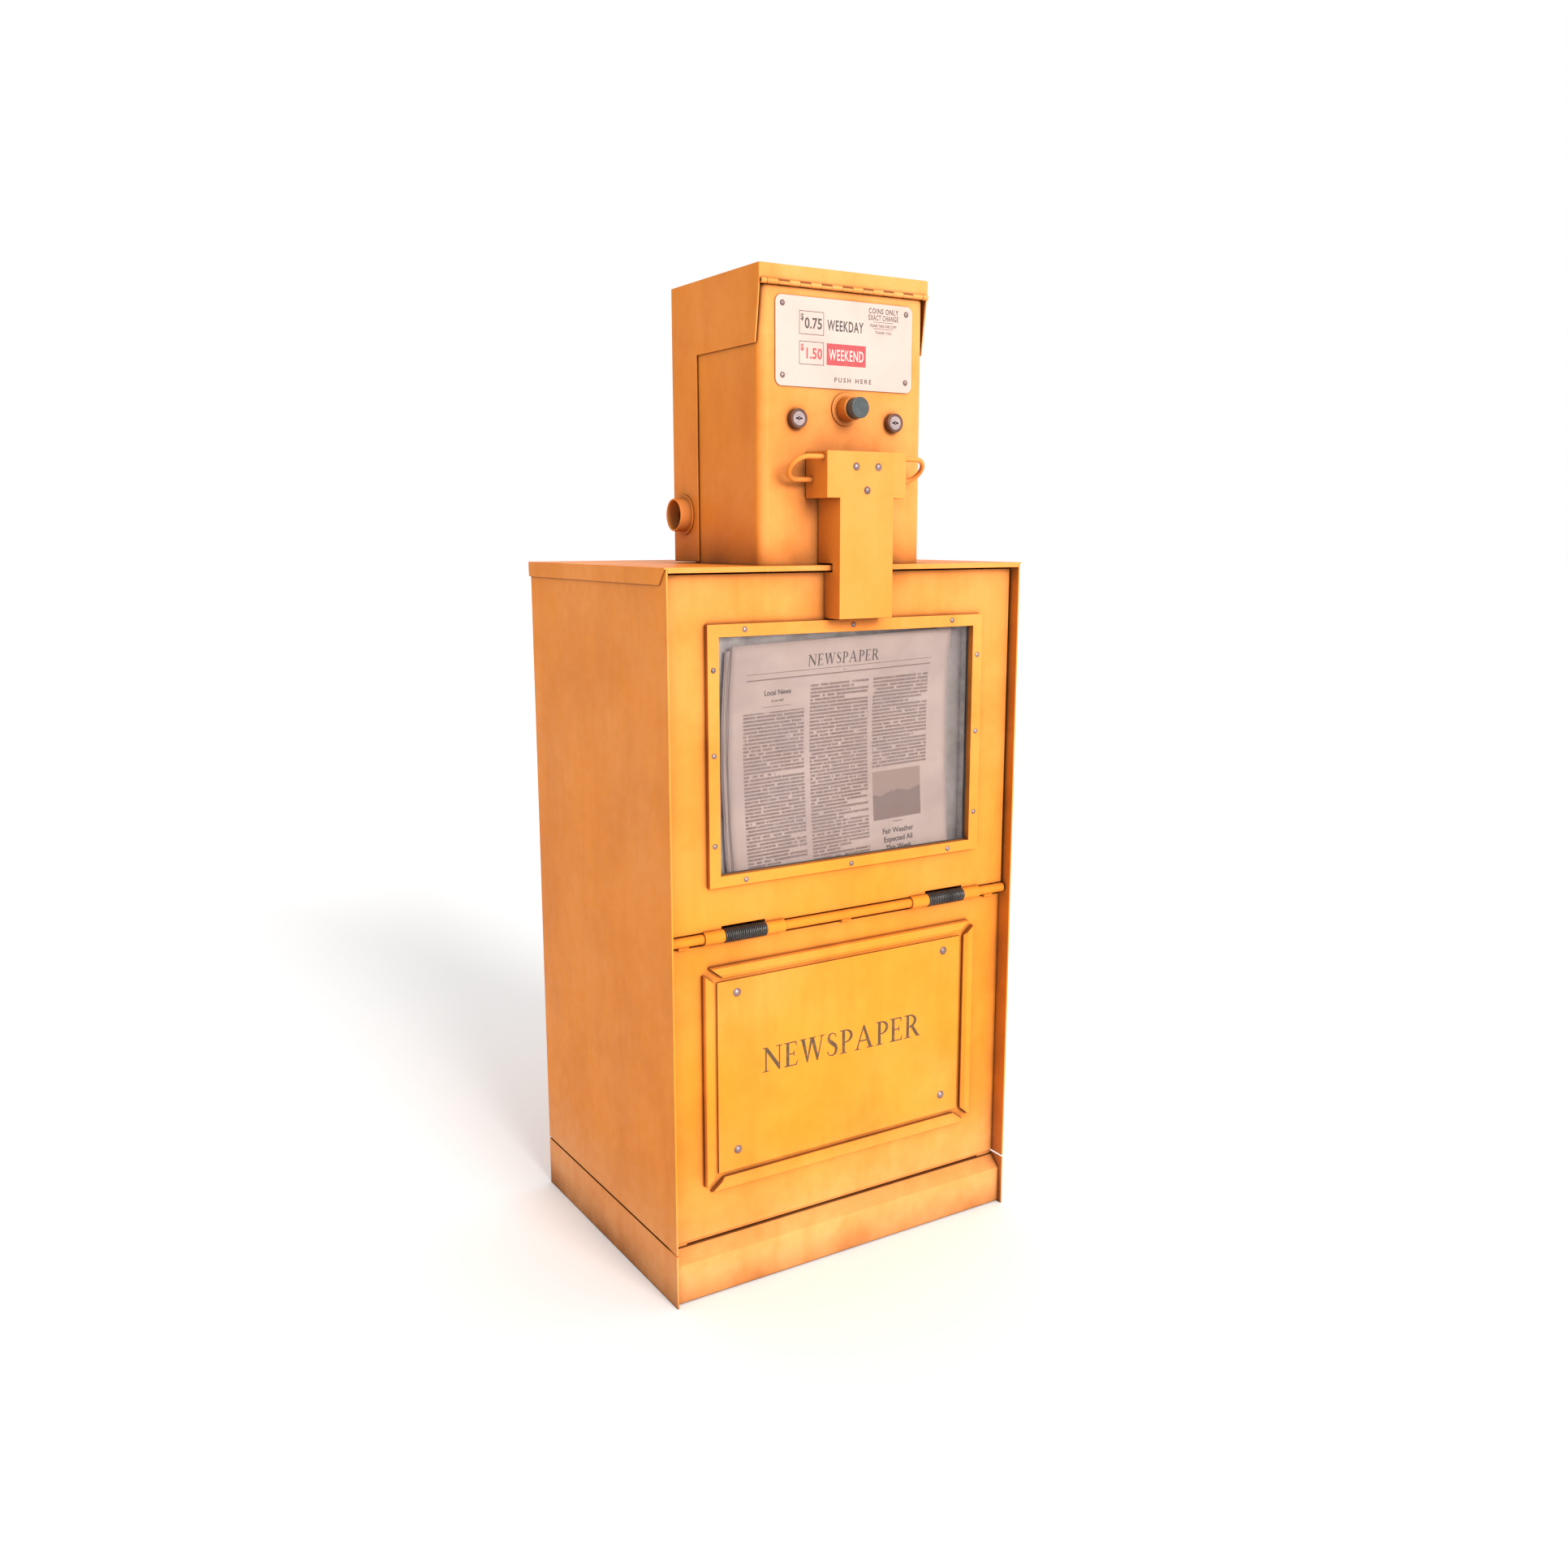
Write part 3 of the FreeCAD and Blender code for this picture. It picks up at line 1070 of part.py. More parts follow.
spots = make_base()
make_cabinet(spots)
make_bolts(spots)
make_card_rails()
make_rod_hinge()
make_door()
make_newspapers()
make_handle()
make_housing()
make_hood()
make_piano_hinge()
make_locks()
make_plunger()
make_mechanism()

# --- the pieces, in the order in which they are put together -------------------------------
NODES = """base_skirt base_floor kick_plate cabinet_floor cabinet_bolts side_panel_left
    side_panel_right back_panel door_jambs door_bumpers lid lower_front_panel card_rails
    name_plate name_plate_screws hinge_rod rod_brackets door_springs shelf_brackets
    newspaper_shelf housing_base_plate coin_housing price_card price_card_rivets
    hinge_leaf_lower hinge_pin return_collar lock_bodies mech_plate coin_chutes coin_rejector
    cash_tray pivot_brackets pivot_pins
    door_panel window_frame window_gasket window_pane pane_retainer window_screws
    door_knuckles handle_cover handle_rivets handle_loops latch_keeper display_holder newspapers
    hood_shell hinge_leaf_upper hood_latch_bars coin_return_cup coin_entry_plate
    lock_plug_left lock_cam_left lock_plug_right lock_cam_right
    return_plunger plunger_spring return_lever door_latch""".split()

doc.recompute()
for thing in doc.Objects:
    if {"Invalid", "Error"} & set(thing.State):
        raise RuntimeError(f"{thing.Name} failed: {thing.State}")
for name in NODES:
    shape = doc.getObject(name).Shape
    if shape.isNull() or not shape.isValid() or not shape.Solids:
        raise RuntimeError(f"{name} has no valid shape")

os.makedirs("parts", exist_ok=True)
for name in NODES:
    piece = doc.getObject(name)
    piece.Label = name
    piece.Shape.exportStep(f"parts/{name}.step")
    box = piece.Shape.BoundBox
    print(f"{name:20s} solids {len(piece.Shape.Solids):2d}  volume {piece.Shape.Volume:10.0f}"
          f"  x {box.XMin:7.1f} {box.XMax:7.1f}  y {box.YMin:7.1f} {box.YMax:7.1f}"
          f"  z {box.ZMin:7.1f} {box.ZMax:7.1f}")
print(len(NODES), "nodes")
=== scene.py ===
# %% [markdown]
# # A coin operated newspaper box
#
# The box is a folded steel cabinet with a drop-down display door, and a coin housing bolted to
# its lid. Its steel parts come in as a fixed frame, already at their real size and in place, in
# metres, with +Z up and the front facing -Y. This lesson gives every part its finish, and builds
# the things that a designer of sheet metal leaves plain: coiled springs, printed papers and
# lettering. We load the frame first, because every later step takes its places from it.

# %% Load the steel frame
import json
import math

import bmesh
import bpy
from mathutils import Euler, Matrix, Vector, noise


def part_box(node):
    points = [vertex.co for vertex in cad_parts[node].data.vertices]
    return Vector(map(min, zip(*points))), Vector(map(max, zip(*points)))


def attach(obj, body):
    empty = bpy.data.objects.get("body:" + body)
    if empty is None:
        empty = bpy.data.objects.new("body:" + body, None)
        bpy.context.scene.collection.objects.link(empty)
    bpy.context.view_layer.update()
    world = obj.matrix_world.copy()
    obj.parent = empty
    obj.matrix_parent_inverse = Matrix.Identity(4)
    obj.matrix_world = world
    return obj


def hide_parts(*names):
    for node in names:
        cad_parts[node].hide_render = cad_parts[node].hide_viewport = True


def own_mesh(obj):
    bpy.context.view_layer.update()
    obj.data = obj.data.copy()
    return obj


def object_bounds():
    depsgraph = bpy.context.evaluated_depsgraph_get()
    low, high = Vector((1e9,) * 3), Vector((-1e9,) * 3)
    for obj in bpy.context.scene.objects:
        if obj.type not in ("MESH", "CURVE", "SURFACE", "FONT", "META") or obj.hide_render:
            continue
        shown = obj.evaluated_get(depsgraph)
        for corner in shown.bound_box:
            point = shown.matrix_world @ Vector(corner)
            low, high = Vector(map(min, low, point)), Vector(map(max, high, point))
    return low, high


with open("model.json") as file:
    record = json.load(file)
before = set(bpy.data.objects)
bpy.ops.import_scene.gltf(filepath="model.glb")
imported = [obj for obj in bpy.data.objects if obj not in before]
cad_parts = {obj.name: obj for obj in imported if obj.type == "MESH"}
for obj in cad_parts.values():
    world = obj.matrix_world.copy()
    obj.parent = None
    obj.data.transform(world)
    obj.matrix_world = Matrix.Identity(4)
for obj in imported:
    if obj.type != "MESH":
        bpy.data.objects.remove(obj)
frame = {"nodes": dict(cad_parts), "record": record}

cad_low, cad_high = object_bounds()
nodes = frame["nodes"]
slot_of = {part["node"]: part["material_slot"] for part in frame["record"]["subparts"]}
MM = 0.001
print(f"{len(nodes)} steel parts, {tuple(round(size, 3) for size in cad_high - cad_low)} m overall")

# %% [markdown]
# ## The camera
#
# A real product view of a box this tall is taken from chest height, some way to the left, so
# that the front and the left side both show. A level camera would keep the uprights parallel.
# This one looks slightly down, so the uprights draw together a little towards the floor, which
# makes the box look as tall as it is.

# %% Set up the camera
camera_data = bpy.data.cameras.new("viewer")
camera_data.lens = 31.615
camera_data.sensor_width = 36
camera = bpy.data.objects.new("viewer", camera_data)
camera.location = (-0.940, -1.5378, 0.9130)
camera.rotation_euler = Euler((math.pi / 2 - 0.181, 0.001, -0.558))
bpy.context.scene.collection.objects.link(camera)
bpy.context.scene.camera = camera
print("camera", round((camera.location - (cad_low + cad_high) / 2).length, 3), "m away")

# %% [markdown]
# ## Floor and light
#
# The box stands in a white studio. The easiest soft light is a bright world all round, which
# leaves only gentle shadows. A broad soft sun straight in front lifts the front above the left
# side, and the rounded corners of the coin housing mirror it as a pale band. A real studio would
# also hang a dark flag on the left, to keep that side deep in colour, so the world is dimmer there.
# The flag would stand out of the picture, so what the viewer sees directly stays white.


# %% Lay the floor and place the lights
def add_floor(half):
    """A pale floor slab, large enough to pass out of sight."""
    mesh = bpy.data.meshes.new("studio_floor")
    corners = [(-half, -half, 0), (half, -half, 0), (half, half, 0), (-half, half, 0)]
    mesh.from_pydata(corners, [], [(0, 1, 2, 3)])
    floor = bpy.data.objects.new("studio_floor", mesh)
    floor.location.z = cad_low.z - 0.0002
    bpy.context.scene.collection.objects.link(floor)
    return floor


def add_light(name, kind, energy, place, aim, **settings):
    """A light at a place, turned to face the point it aims at."""
    data = bpy.data.lights.new(name, kind)
    data.energy = energy
    for setting, value in settings.items():
        setattr(data, setting, value)
    light = bpy.data.objects.new(name, data)
    light.location = place
    light.rotation_euler = (Vector(aim) - Vector(place)).to_track_quat("-Z", "Y").to_euler()
    bpy.context.scene.collection.objects.link(light)
    return light


floor = add_floor(30)
pale_floor = bpy.data.materials.new("pale_floor")
pale_floor.use_nodes = True
floor_paint = pale_floor.node_tree.nodes["Principled BSDF"]
floor_paint.inputs["Base Color"].default_value = (0.93, 0.93, 0.93, 1.0)
floor_paint.inputs["Roughness"].default_value = 0.9
floor.data.materials.append(pale_floor)
middle = (cad_low + cad_high) / 2
add_light("front_sun", "SUN", 3.6, middle + Vector((0.15, -3.0, 1.1)), middle,
          angle=math.radians(28), color=(1.0, 0.98, 0.95))

world = bpy.data.worlds.new("white_studio")
bpy.context.scene.world = world
world.use_nodes = True
sky = world.node_tree.nodes["Background"]
sky.inputs["Color"].default_value = (1.0, 1.0, 1.0, 1.0)
around = world.node_tree.nodes.new("ShaderNodeTexCoord")
sideways = world.node_tree.nodes.new("ShaderNodeSeparateXYZ")
flag = world.node_tree.nodes.new("ShaderNodeMapRange")
for socket, value in (("From Min", -0.9), ("From Max", -0.05), ("To Min", 0.5), ("To Max", 1.0)):
    flag.inputs[socket].default_value = value
world.node_tree.links.new(around.outputs["Generated"], sideways.inputs[0])
world.node_tree.links.new(sideways.outputs["X"], flag.inputs["Value"])
seen = world.node_tree.nodes.new("ShaderNodeLightPath")
brighter = world.node_tree.nodes.new("ShaderNodeMath")
brighter.operation = "MAXIMUM"
world.node_tree.links.new(flag.outputs[0], brighter.inputs[0])
world.node_tree.links.new(seen.outputs["Is Camera Ray"], brighter.inputs[1])
world.node_tree.links.new(brighter.outputs[0], sky.inputs["Strength"])
bpy.context.scene.view_settings.view_transform = "Standard"
print("floor at", round(floor.location.z, 4))

# %% [markdown]
# ## A bench for mixing finishes
#
# A finish on real metal is never one colour: paint chalks and stains, and fingers polish the rest.
# Where parts meet, the recipes darken the colour as painted shade. Each finish below is a small
# recipe of patterns, so we need short names for its steps. Every pattern is measured in metres on
# the object itself, so that it keeps its scale on large panels and on small screws.


# %% Helpers for a finish
class Finish:
    """A material in the making: each step adds one node and hands back its output."""

    def __init__(self, name):
        self.material = bpy.data.materials.new(name)
        self.material.use_nodes = True
        self.tree = self.material.node_tree
        self.shader = self.tree.nodes["Principled BSDF"]
        self.place = self.step("TexCoord").outputs["Object"]

    def feed(self, socket, value):
        if isinstance(value, bpy.types.NodeSocket):
            self.tree.links.new(value, socket)
        else:
            socket.default_value = value

    def step(self, kind, inputs=None, **settings):
        node = self.tree.nodes.new(f"ShaderNode{kind}")
        for setting, value in settings.items():
            setattr(node, setting, value)
        for key, value in (inputs or {}).items():
            self.feed(node.inputs[key], value)
        return node

    def sum(self, operation, first, second=0.5, third=0.5):
        inputs = {0: first, 1: second, 2: third}
        return self.step("Math", inputs, operation=operation).outputs[0]

    def clouds(self, scale, detail=3.0, rough=0.5, place=None, stretch=None):
        """Soft random patches, about 1/scale metres across."""
        place = place or self.place
        if stretch:
            place = self.step("Mapping", {"Vector": place, "Scale": stretch}).outputs[0]
        inputs = {"Vector": place, "Scale": scale, "Detail": detail, "Roughness": rough}
        return self.step("TexNoise", inputs).outputs["Fac"]

    def between(self, value, low, high, start=0.0, end=1.0):
        """Stretches the part of a pattern from low to high over start to end."""
        inputs = {"Value": value, "From Min": low, "From Max": high, "To Min": start, "To Max": end}
        return self.step("MapRange", inputs, clamp=True).outputs[0]

    def blend(self, amount, first, second, way="MIX"):
        node = self.step("Mix", data_type="RGBA", blend_type=way)
        for index, value in ((0, amount), (6, first), (7, second)):
            self.feed(node.inputs[index], value)
        return node.outputs[2]

    def crevice(self, reach):
        """Near 1 in the open and towards 0 where other surfaces stand within reach."""
        node = self.step("AmbientOcclusion", {"Distance": reach}, samples=8)
        return node.outputs["AO"]

    def finish(self, colour, roughness, bump=None, strength=0.2, distance=0.0005, **sockets):
        """Wires colour, roughness and relief into the shader, and sets its plain sockets."""
        self.feed(self.shader.inputs["Base Color"], colour)
        self.feed(self.shader.inputs["Roughness"], roughness)
        if bump:
            inputs = {"Height": bump, "Strength": strength, "Distance": distance}
            relief = self.step("Bump", inputs).outputs[0]
            self.feed(self.shader.inputs["Normal"], relief)
        for socket, value in sockets.items():
            self.shader.inputs[socket.replace("_", " ")].default_value = value
        return self.material


def rgb(red, green, blue):
    return (red, green, blue, 1.0)


print("finish helpers ready")

# %% [markdown]
# ## The yellow enamel
#
# The cabinet is sprayed with a satin yellow-orange enamel that years outdoors have mottled. Painted
# shade browns it in a soft halo wherever one part stands off another, and in a thin dark line in
# tight creases and seams. A single noise would look like camouflage, so the recipe layers large
# faint patches, vertical runs of rain, the wide painted crevice shade and the tight one, and a
# painted light that makes front-facing surfaces paler towards the top. The handle cover is polished
# by hands and so is a little lighter, and it gets slightly less painted shade, spread a little
# wider.


# %% Mix the enamels
def enamel(name, base, deep, pale, shade_amount=1.0, reach=0.055, rough=0.40, shade_above=None):
    paint = Finish(name)
    height = paint.step("SeparateXYZ", {0: paint.place}).outputs[2]
    # Painted light: surfaces that face the front are painted paler, more so towards the top.
    facing = paint.step("SeparateXYZ", {0: paint.step("TexCoord").outputs["Normal"]}).outputs[1]
    painted_front_light = paint.between(facing, -0.75, -0.25, 1, 0)
    painted_front_light = paint.sum("MULTIPLY", painted_front_light, paint.between(height, 0.45, 1.10, 0.10, 1.0))
    dusty = paint.between(height, 0.03, 0.16, 0.75, 0)
    patches = paint.between(paint.clouds(9, 4, 0.6), 0.42, 0.72)
    faded = paint.between(paint.clouds(5, 3, 0.5), 0.40, 0.65)
    runs = paint.between(paint.clouds(1.0, 4, 0.6, stretch=(34, 34, 5)), 0.48, 0.75)
    fine = paint.between(paint.clouds(70, 5, 0.65), 0.35, 0.75)
    colour = paint.blend(paint.sum("MULTIPLY", faded, 0.30), base, pale)
    colour = paint.blend(painted_front_light, colour, pale)
    colour = paint.blend(dusty, colour, DUST)
    colour = paint.blend(paint.sum("MULTIPLY", patches, 0.50), colour, deep)
    colour = paint.blend(paint.sum("MULTIPLY", runs, 0.25), colour, deep)
    colour = paint.blend(paint.sum("MULTIPLY", fine, 0.15), colour, deep)
    uneven = paint.between(patches, 0, 1, 0.7, 1.15)
    # Painted shade: near other surfaces the colour turns brown, in an uneven wide halo.
    wide = paint.between(paint.crevice(reach), 0.42, 0.97, 0.95 * shade_amount, 0)
    wide = paint.sum("MULTIPLY", paint.sum("POWER", wide, 1.15), uneven)
    colour = paint.blend(wide, colour, SHADE_BROWN)
    # Painted shade: a tight dark line in creases and seams.
    tight_shade = paint.between(paint.crevice(0.006), 0.25, 0.85, 0.85 * shade_amount, 0)
    colour = paint.blend(tight_shade, colour, rgb(0.10, 0.026, 0.008))
    # Painted shade: above the given height the colour turns dark brown, for the shaded gap under
    # the hood's lip.
    if shade_above:
        painted_gap_shade = paint.between(height, shade_above, shade_above + 0.0004, 0, 0.92)
        colour = paint.blend(painted_gap_shade, colour, rgb(0.20, 0.055, 0.018))
    roughness = paint.between(fine, 0, 1, rough - 0.04, rough + 0.12)
    roughness = paint.sum("ADD", roughness, paint.sum("MULTIPLY", wide, 0.2))
    peel = paint.sum("ADD", paint.clouds(900, 2), paint.sum("MULTIPLY", paint.clouds(30, 2), 0.6))
    paint.finish(colour, roughness, peel, 0.12, 0.0004, Specular_IOR_Level=0.12)
    paint.shader.inputs["Specular Tint"].default_value = rgb(1.0, 0.62, 0.22)
    return paint.material


# The brown that the wide painted shade darkens towards.
SHADE_BROWN = rgb(0.20, 0.068, 0.020)
DUST = rgb(0.80, 0.38, 0.150)
yellow_paint = enamel("yellow_enamel", rgb(0.83, 0.255, 0.020), rgb(0.64, 0.165, 0.010),
                      rgb(0.86, 0.33, 0.100))
handle_paint = enamel("handle_enamel", rgb(0.84, 0.262, 0.030), rgb(0.72, 0.20, 0.020),
                      rgb(0.86, 0.29, 0.075), shade_amount=0.9, reach=0.07)
rod_paint = enamel("rod_enamel", rgb(0.74, 0.22, 0.018), rgb(0.50, 0.12, 0.010),
                   rgb(0.85, 0.32, 0.050), reach=0.02, rough=0.28)
pin_low, pin_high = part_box("hinge_pin")
PIN_LEVEL = (pin_low.z + pin_high.z) / 2
# The upper hinge leaf is painted dark brown above the pin's level, as painted shade.
knuckle_paint = enamel("knuckle_enamel", rgb(0.83, 0.255, 0.020), rgb(0.64, 0.165, 0.010),
                       rgb(0.86, 0.33, 0.100), shade_above=PIN_LEVEL)
print("enamels mixed")

# %% [markdown]
# ## Bare metal, rubber and plastic
#
# Inside, the steel is only zinc plated, and its heads and springs are dulled by the weather. A
# metal shows its age in its roughness more than in its colour, so these recipes keep the colour
# simple and let scratches and grime change how sharply the metal mirrors the room.


# %% Mix the metals and the dark parts
def dull_metal(name, bright, dark, rough, metal=1.0, seam_shade_amount=0.6, grain=300):
    steel = Finish(name)
    cloud = steel.between(steel.clouds(60, 4, 0.6), 0.35, 0.7)
    grain_lines = steel.clouds(grain, 3, 0.6)
    colour = steel.blend(cloud, bright, dark)
    # Painted shade: the colour darkens in tight creases.
    painted_seam_shade = steel.between(steel.crevice(0.004), 0.3, 0.95, seam_shade_amount, 0)
    colour = steel.blend(painted_seam_shade, colour, rgb(0.05, 0.03, 0.025))
    roughness = steel.between(cloud, 0, 1, rough - 0.08, rough + 0.1)
    return steel.finish(colour, roughness, grain_lines, 0.1, 0.0003, Metallic=metal)


def dark_solid(name, base, worn, rough, grain=700):
    part = Finish(name)
    scuffs = part.between(part.clouds(120, 4, 0.7), 0.5, 0.75)
    colour = part.blend(part.sum("MULTIPLY", scuffs, 0.6), base, worn)
    roughness = part.between(scuffs, 0, 1, rough, rough + 0.15)
    return part.finish(colour, roughness, part.clouds(grain, 3), 0.15, 0.0003)


rivet_steel = dull_metal("dulled_rivet_heads", rgb(0.33, 0.24, 0.23), rgb(0.16, 0.105, 0.10),
                         0.45, 0.75, 0.9)
inner_steel = dull_metal("zinc_plate", rgb(0.55, 0.55, 0.53), rgb(0.38, 0.38, 0.38), 0.45, 0.9, 0.4)
spring_steel = dull_metal("blackened_wire", rgb(0.10, 0.095, 0.09), rgb(0.05, 0.045, 0.045),
                          0.42, 0.8)
lock_ring = dull_metal("dark_bronze", rgb(0.17, 0.085, 0.055), rgb(0.08, 0.036, 0.024), 0.42, 0.6)
lock_face = dull_metal("lock_plate", rgb(0.42, 0.33, 0.32), rgb(0.28, 0.21, 0.21), 0.48, 0.4, 0.9)
rubber = dark_solid("soft_rubber", rgb(0.022, 0.021, 0.020), rgb(0.06, 0.055, 0.05), 0.7)
plunger_black = dark_solid("grey_moulding", rgb(0.040, 0.052, 0.052), rgb(0.085, 0.095, 0.090),
                           0.42)
print("metals, rubber and plastic mixed")

# %% [markdown]
# ## The hazed pane
#
# The window is clear plastic that sun and sleeves have hazed. Glass that bends light would turn
# the paper behind it dark and noisy for no gain at this thickness, so the pane is mostly a plain
# see-through surface with a thin, slightly mauve haze and a soft gloss over it.


# %% Mix the pane
def hazed_pane(name):
    pane = Finish(name)
    wiped = pane.clouds(14, 4, 0.6, stretch=(1.0, 1.0, 2.2))
    haze = pane.between(wiped, 0.35, 0.75, 0.02, 0.11)
    scratches = pane.between(pane.clouds(1.0, 2, 0.5, stretch=(900, 40, 60)), 0.68, 0.74, 0, 0.05)
    cover = pane.sum("ADD", haze, scratches)
    clear = pane.step("BsdfTransparent", {"Color": rgb(0.95, 0.92, 0.91)}).outputs[0]
    pane.shader.inputs["Specular IOR Level"].default_value = 0.3
    colour = pane.blend(wiped, rgb(0.46, 0.38, 0.40), rgb(0.36, 0.31, 0.36))
    pane.feed(pane.shader.inputs["Base Color"], colour)
    pane.feed(pane.shader.inputs["Roughness"], pane.between(wiped, 0.3, 0.8, 0.08, 0.3))
    mixed = pane.step("MixShader", {0: cover, 1: clear, 2: pane.shader.outputs[0]}).outputs[0]
    pane.feed(pane.tree.nodes["Material Output"].inputs["Surface"], mixed)
    return pane.material


pane_plastic = hazed_pane("hazed_plastic")
print("pane mixed")

# %% [markdown]
# ## The white price plate
#
# The plate under the hinge is white enamel on steel, yellowed and pinkish in uneven patches, with
# painted shade browning it round the rivets and along its edges. It is the brightest thing on the
# box, so its stains stay faint.


# %% Mix the price plate and the backing
def stained_white(name, base, stain, rough=0.35):
    plate = Finish(name)
    patches = plate.between(plate.clouds(18, 3, 0.55), 0.45, 0.75)
    fine = plate.between(plate.clouds(160, 4, 0.6), 0.45, 0.8)
    colour = plate.blend(plate.sum("MULTIPLY", patches, 0.55), base, stain)
    colour = plate.blend(plate.sum("MULTIPLY", fine, 0.15), colour, stain)
    # Painted shade: the colour browns near rivets, rails and other close surfaces.
    edge = plate.between(plate.crevice(0.008), 0.4, 0.9, 0.5, 0)
    colour = plate.blend(edge, colour, rgb(0.35, 0.16, 0.10))
    return plate.finish(colour, rough, plate.clouds(500, 2), 0.08, 0.0003, Specular_IOR_Level=0.4)


price_card = stained_white("price_plate_enamel", rgb(0.54, 0.42, 0.365), rgb(0.52, 0.34, 0.29))
backing = stained_white("grey_backing", rgb(0.25, 0.165, 0.135), rgb(0.17, 0.105, 0.09), 0.5)
print("plates mixed")

# %% [markdown]
# ## Dress the steel parts
#
# Folded sheet never has a knife edge: the press leaves a radius of about half a millimetre, and
# that radius is what catches the light along every real edge. The steel parts come in as bare
# triangles, so a stack of modifiers first merges them to clean flat faces, then rounds their
# sharp edges and evens the shading. The parts themselves are never moved or edited.

# %% Give each steel part its finish and soft edges
FINISHES = {
    "yellow_paint": yellow_paint, "handle_paint": handle_paint, "inner_steel": inner_steel,
    "rivet_steel": rivet_steel, "rod_paint": rod_paint, "spring_steel": spring_steel,
    "rubber": rubber, "pane": pane_plastic, "newsprint": backing, "price_card": price_card,
    "lock_ring": lock_ring, "lock_face": lock_face, "plunger_black": plunger_black,
}
OWN_FINISH = {"hinge_leaf_upper": knuckle_paint}
EDGE_RADIUS = {
    "coin_housing": 0.8, "hood_shell": 1.0, "handle_cover": 0.7, "window_frame": 1.0,
    "card_rails": 0.5, "return_plunger": 1.6, "return_collar": 0.8, "coin_return_cup": 0.8,
    "price_card": 0.3, "lock_bodies": 1.2, "lock_plug_left": 0.3, "lock_plug_right": 0.3,
    "kick_plate": 0.5, "lid": 0.6, "door_knuckles": 0.5, "hinge_leaf_upper": 0.5,
    "hinge_leaf_lower": 0.5, "hinge_rod": 0.6, "window_pane": 0.2, "window_gasket": 0.2,
}
SMALLEST_EDGE = 0.35


def soften(node, name):
    """Merges the triangles, rounds the sharp edges and evens out the shading."""
    weld = node.modifiers.new("merge_corners", "WELD")
    weld.merge_threshold = 0.00001
    flat = node.modifiers.new("merge_faces", "DECIMATE")
    flat.decimate_type = "DISSOLVE"
    flat.angle_limit = math.radians(0.4)
    edge = node.modifiers.new("press_radius", "BEVEL")
    edge.width = EDGE_RADIUS.get(name, SMALLEST_EDGE) * MM
    edge.segments = 2
    edge.limit_method = "ANGLE"
    edge.angle_limit = math.radians(38)
    edge.use_clamp_overlap = True
    shade = node.modifiers.new("even_shading", "WEIGHTED_NORMAL")
    shade.keep_sharp = True


for name, node in nodes.items():
    node.data.materials.clear()
    node.data.materials.append(OWN_FINISH.get(name, FINISHES[slot_of[name]]))
    soften(node, name)
print(len(nodes), "parts dressed with", len(FINISHES), "finishes")

# %% [markdown]
# ## Turning outlines into pieces
#
# Several pieces are made from here on, so we need one function that makes a piece from
# corner points and faces, gives it a finish and lets it ride on the right body, and one that
# turns a curve's wire into a real mesh.


# %% Helpers for new pieces
def add_piece(name, points, faces, material, body, smooth=True):
    mesh = bpy.data.meshes.new(name)
    mesh.from_pydata([tuple(point) for point in points], [], faces)
    mesh.validate()
    piece = bpy.data.objects.new(name, mesh)
    bpy.context.scene.collection.objects.link(piece)
    mesh.materials.append(material)
    for polygon in mesh.polygons:
        polygon.use_smooth = smooth
    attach(piece, body)
    return piece


def add_wire(name, points, radius, material, body, sides=8):
    """A round wire along a line of points, with closed ends."""
    curve = bpy.data.curves.new(name, "CURVE")
    curve.dimensions = "3D"
    curve.bevel_depth = radius
    curve.bevel_resolution = max(1, sides // 4 - 1)
    curve.use_fill_caps = True
    spline = curve.splines.new("POLY")
    spline.points.add(len(points) - 1)
    for spot, point in zip(spline.points, points):
        spot.co = (*point, 1.0)
    holder = bpy.data.objects.new(f"{name}_line", curve)
    bpy.context.scene.collection.objects.link(holder)
    bpy.context.view_layer.update()
    mesh = bpy.data.meshes.new_from_object(holder)
    bpy.data.objects.remove(holder)
    mesh.name = name
    piece = bpy.data.objects.new(name, mesh)
    bpy.context.scene.collection.objects.link(piece)
    mesh.materials.clear()
    mesh.materials.append(material)
    for polygon in mesh.polygons:
        polygon.use_smooth = True
    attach(piece, body)
    return piece


print("piece helpers ready")

# %% [markdown]
# ## The door's torsion springs
#
# Two close wound springs sit on the rod between the door's collars and lift the door shut. The
# steel frame only holds a ridged sleeve in their place. A coil is a helix, so a loop walks round
# the rod and along it at the same time, and a round wire follows. Twenty-two turns of a wire a
# little over two millimetres thick fill the gap with just enough light between them to read as
# a spring.


# %% Wind the torsion springs
def helix(start, end, radius, turns, steps=18, flat_ends=0.6):
    """Points round the x or y axis from start to end; the end turns close up flat."""
    along = end - start
    points = []
    count = int(turns * steps)
    for index in range(count + 1):
        turn = index / steps
        share = min(max((turn - flat_ends) / (turns - 2 * flat_ends), 0), 1)
        angle = 2 * math.pi * turn
        ring = Vector((0, math.cos(angle), math.sin(angle)))
        if abs(along.y) > abs(along.x):
            ring = Vector((math.cos(angle), 0, math.sin(angle)))
        points.append(start + along * share + ring * radius)
    return points


spring_low, spring_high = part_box("door_springs")
spring_axis = (spring_low + spring_high) / 2
outer_radius = (spring_high.z - spring_low.z) / 2
SPRING_LENGTH = 56.5 * MM
SPRING_WIRE = 1.12 * MM
TURNS = 22
for side, sign in (("left", -1), ("right", 1)):
    far = sign * (spring_high.x - SPRING_WIRE)
    near = sign * (spring_high.x - SPRING_LENGTH + SPRING_WIRE)
    coil = helix(Vector((near, spring_axis.y, spring_axis.z)),
                 Vector((far, spring_axis.y, spring_axis.z)), outer_radius - SPRING_WIRE, TURNS)
    spring = add_wire(f"torsion_spring_{side}", coil, SPRING_WIRE, spring_steel, "cabinet")
    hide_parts("door_springs")
print(f"two springs of {TURNS} turns, radius {outer_radius * 1000:.1f} mm")
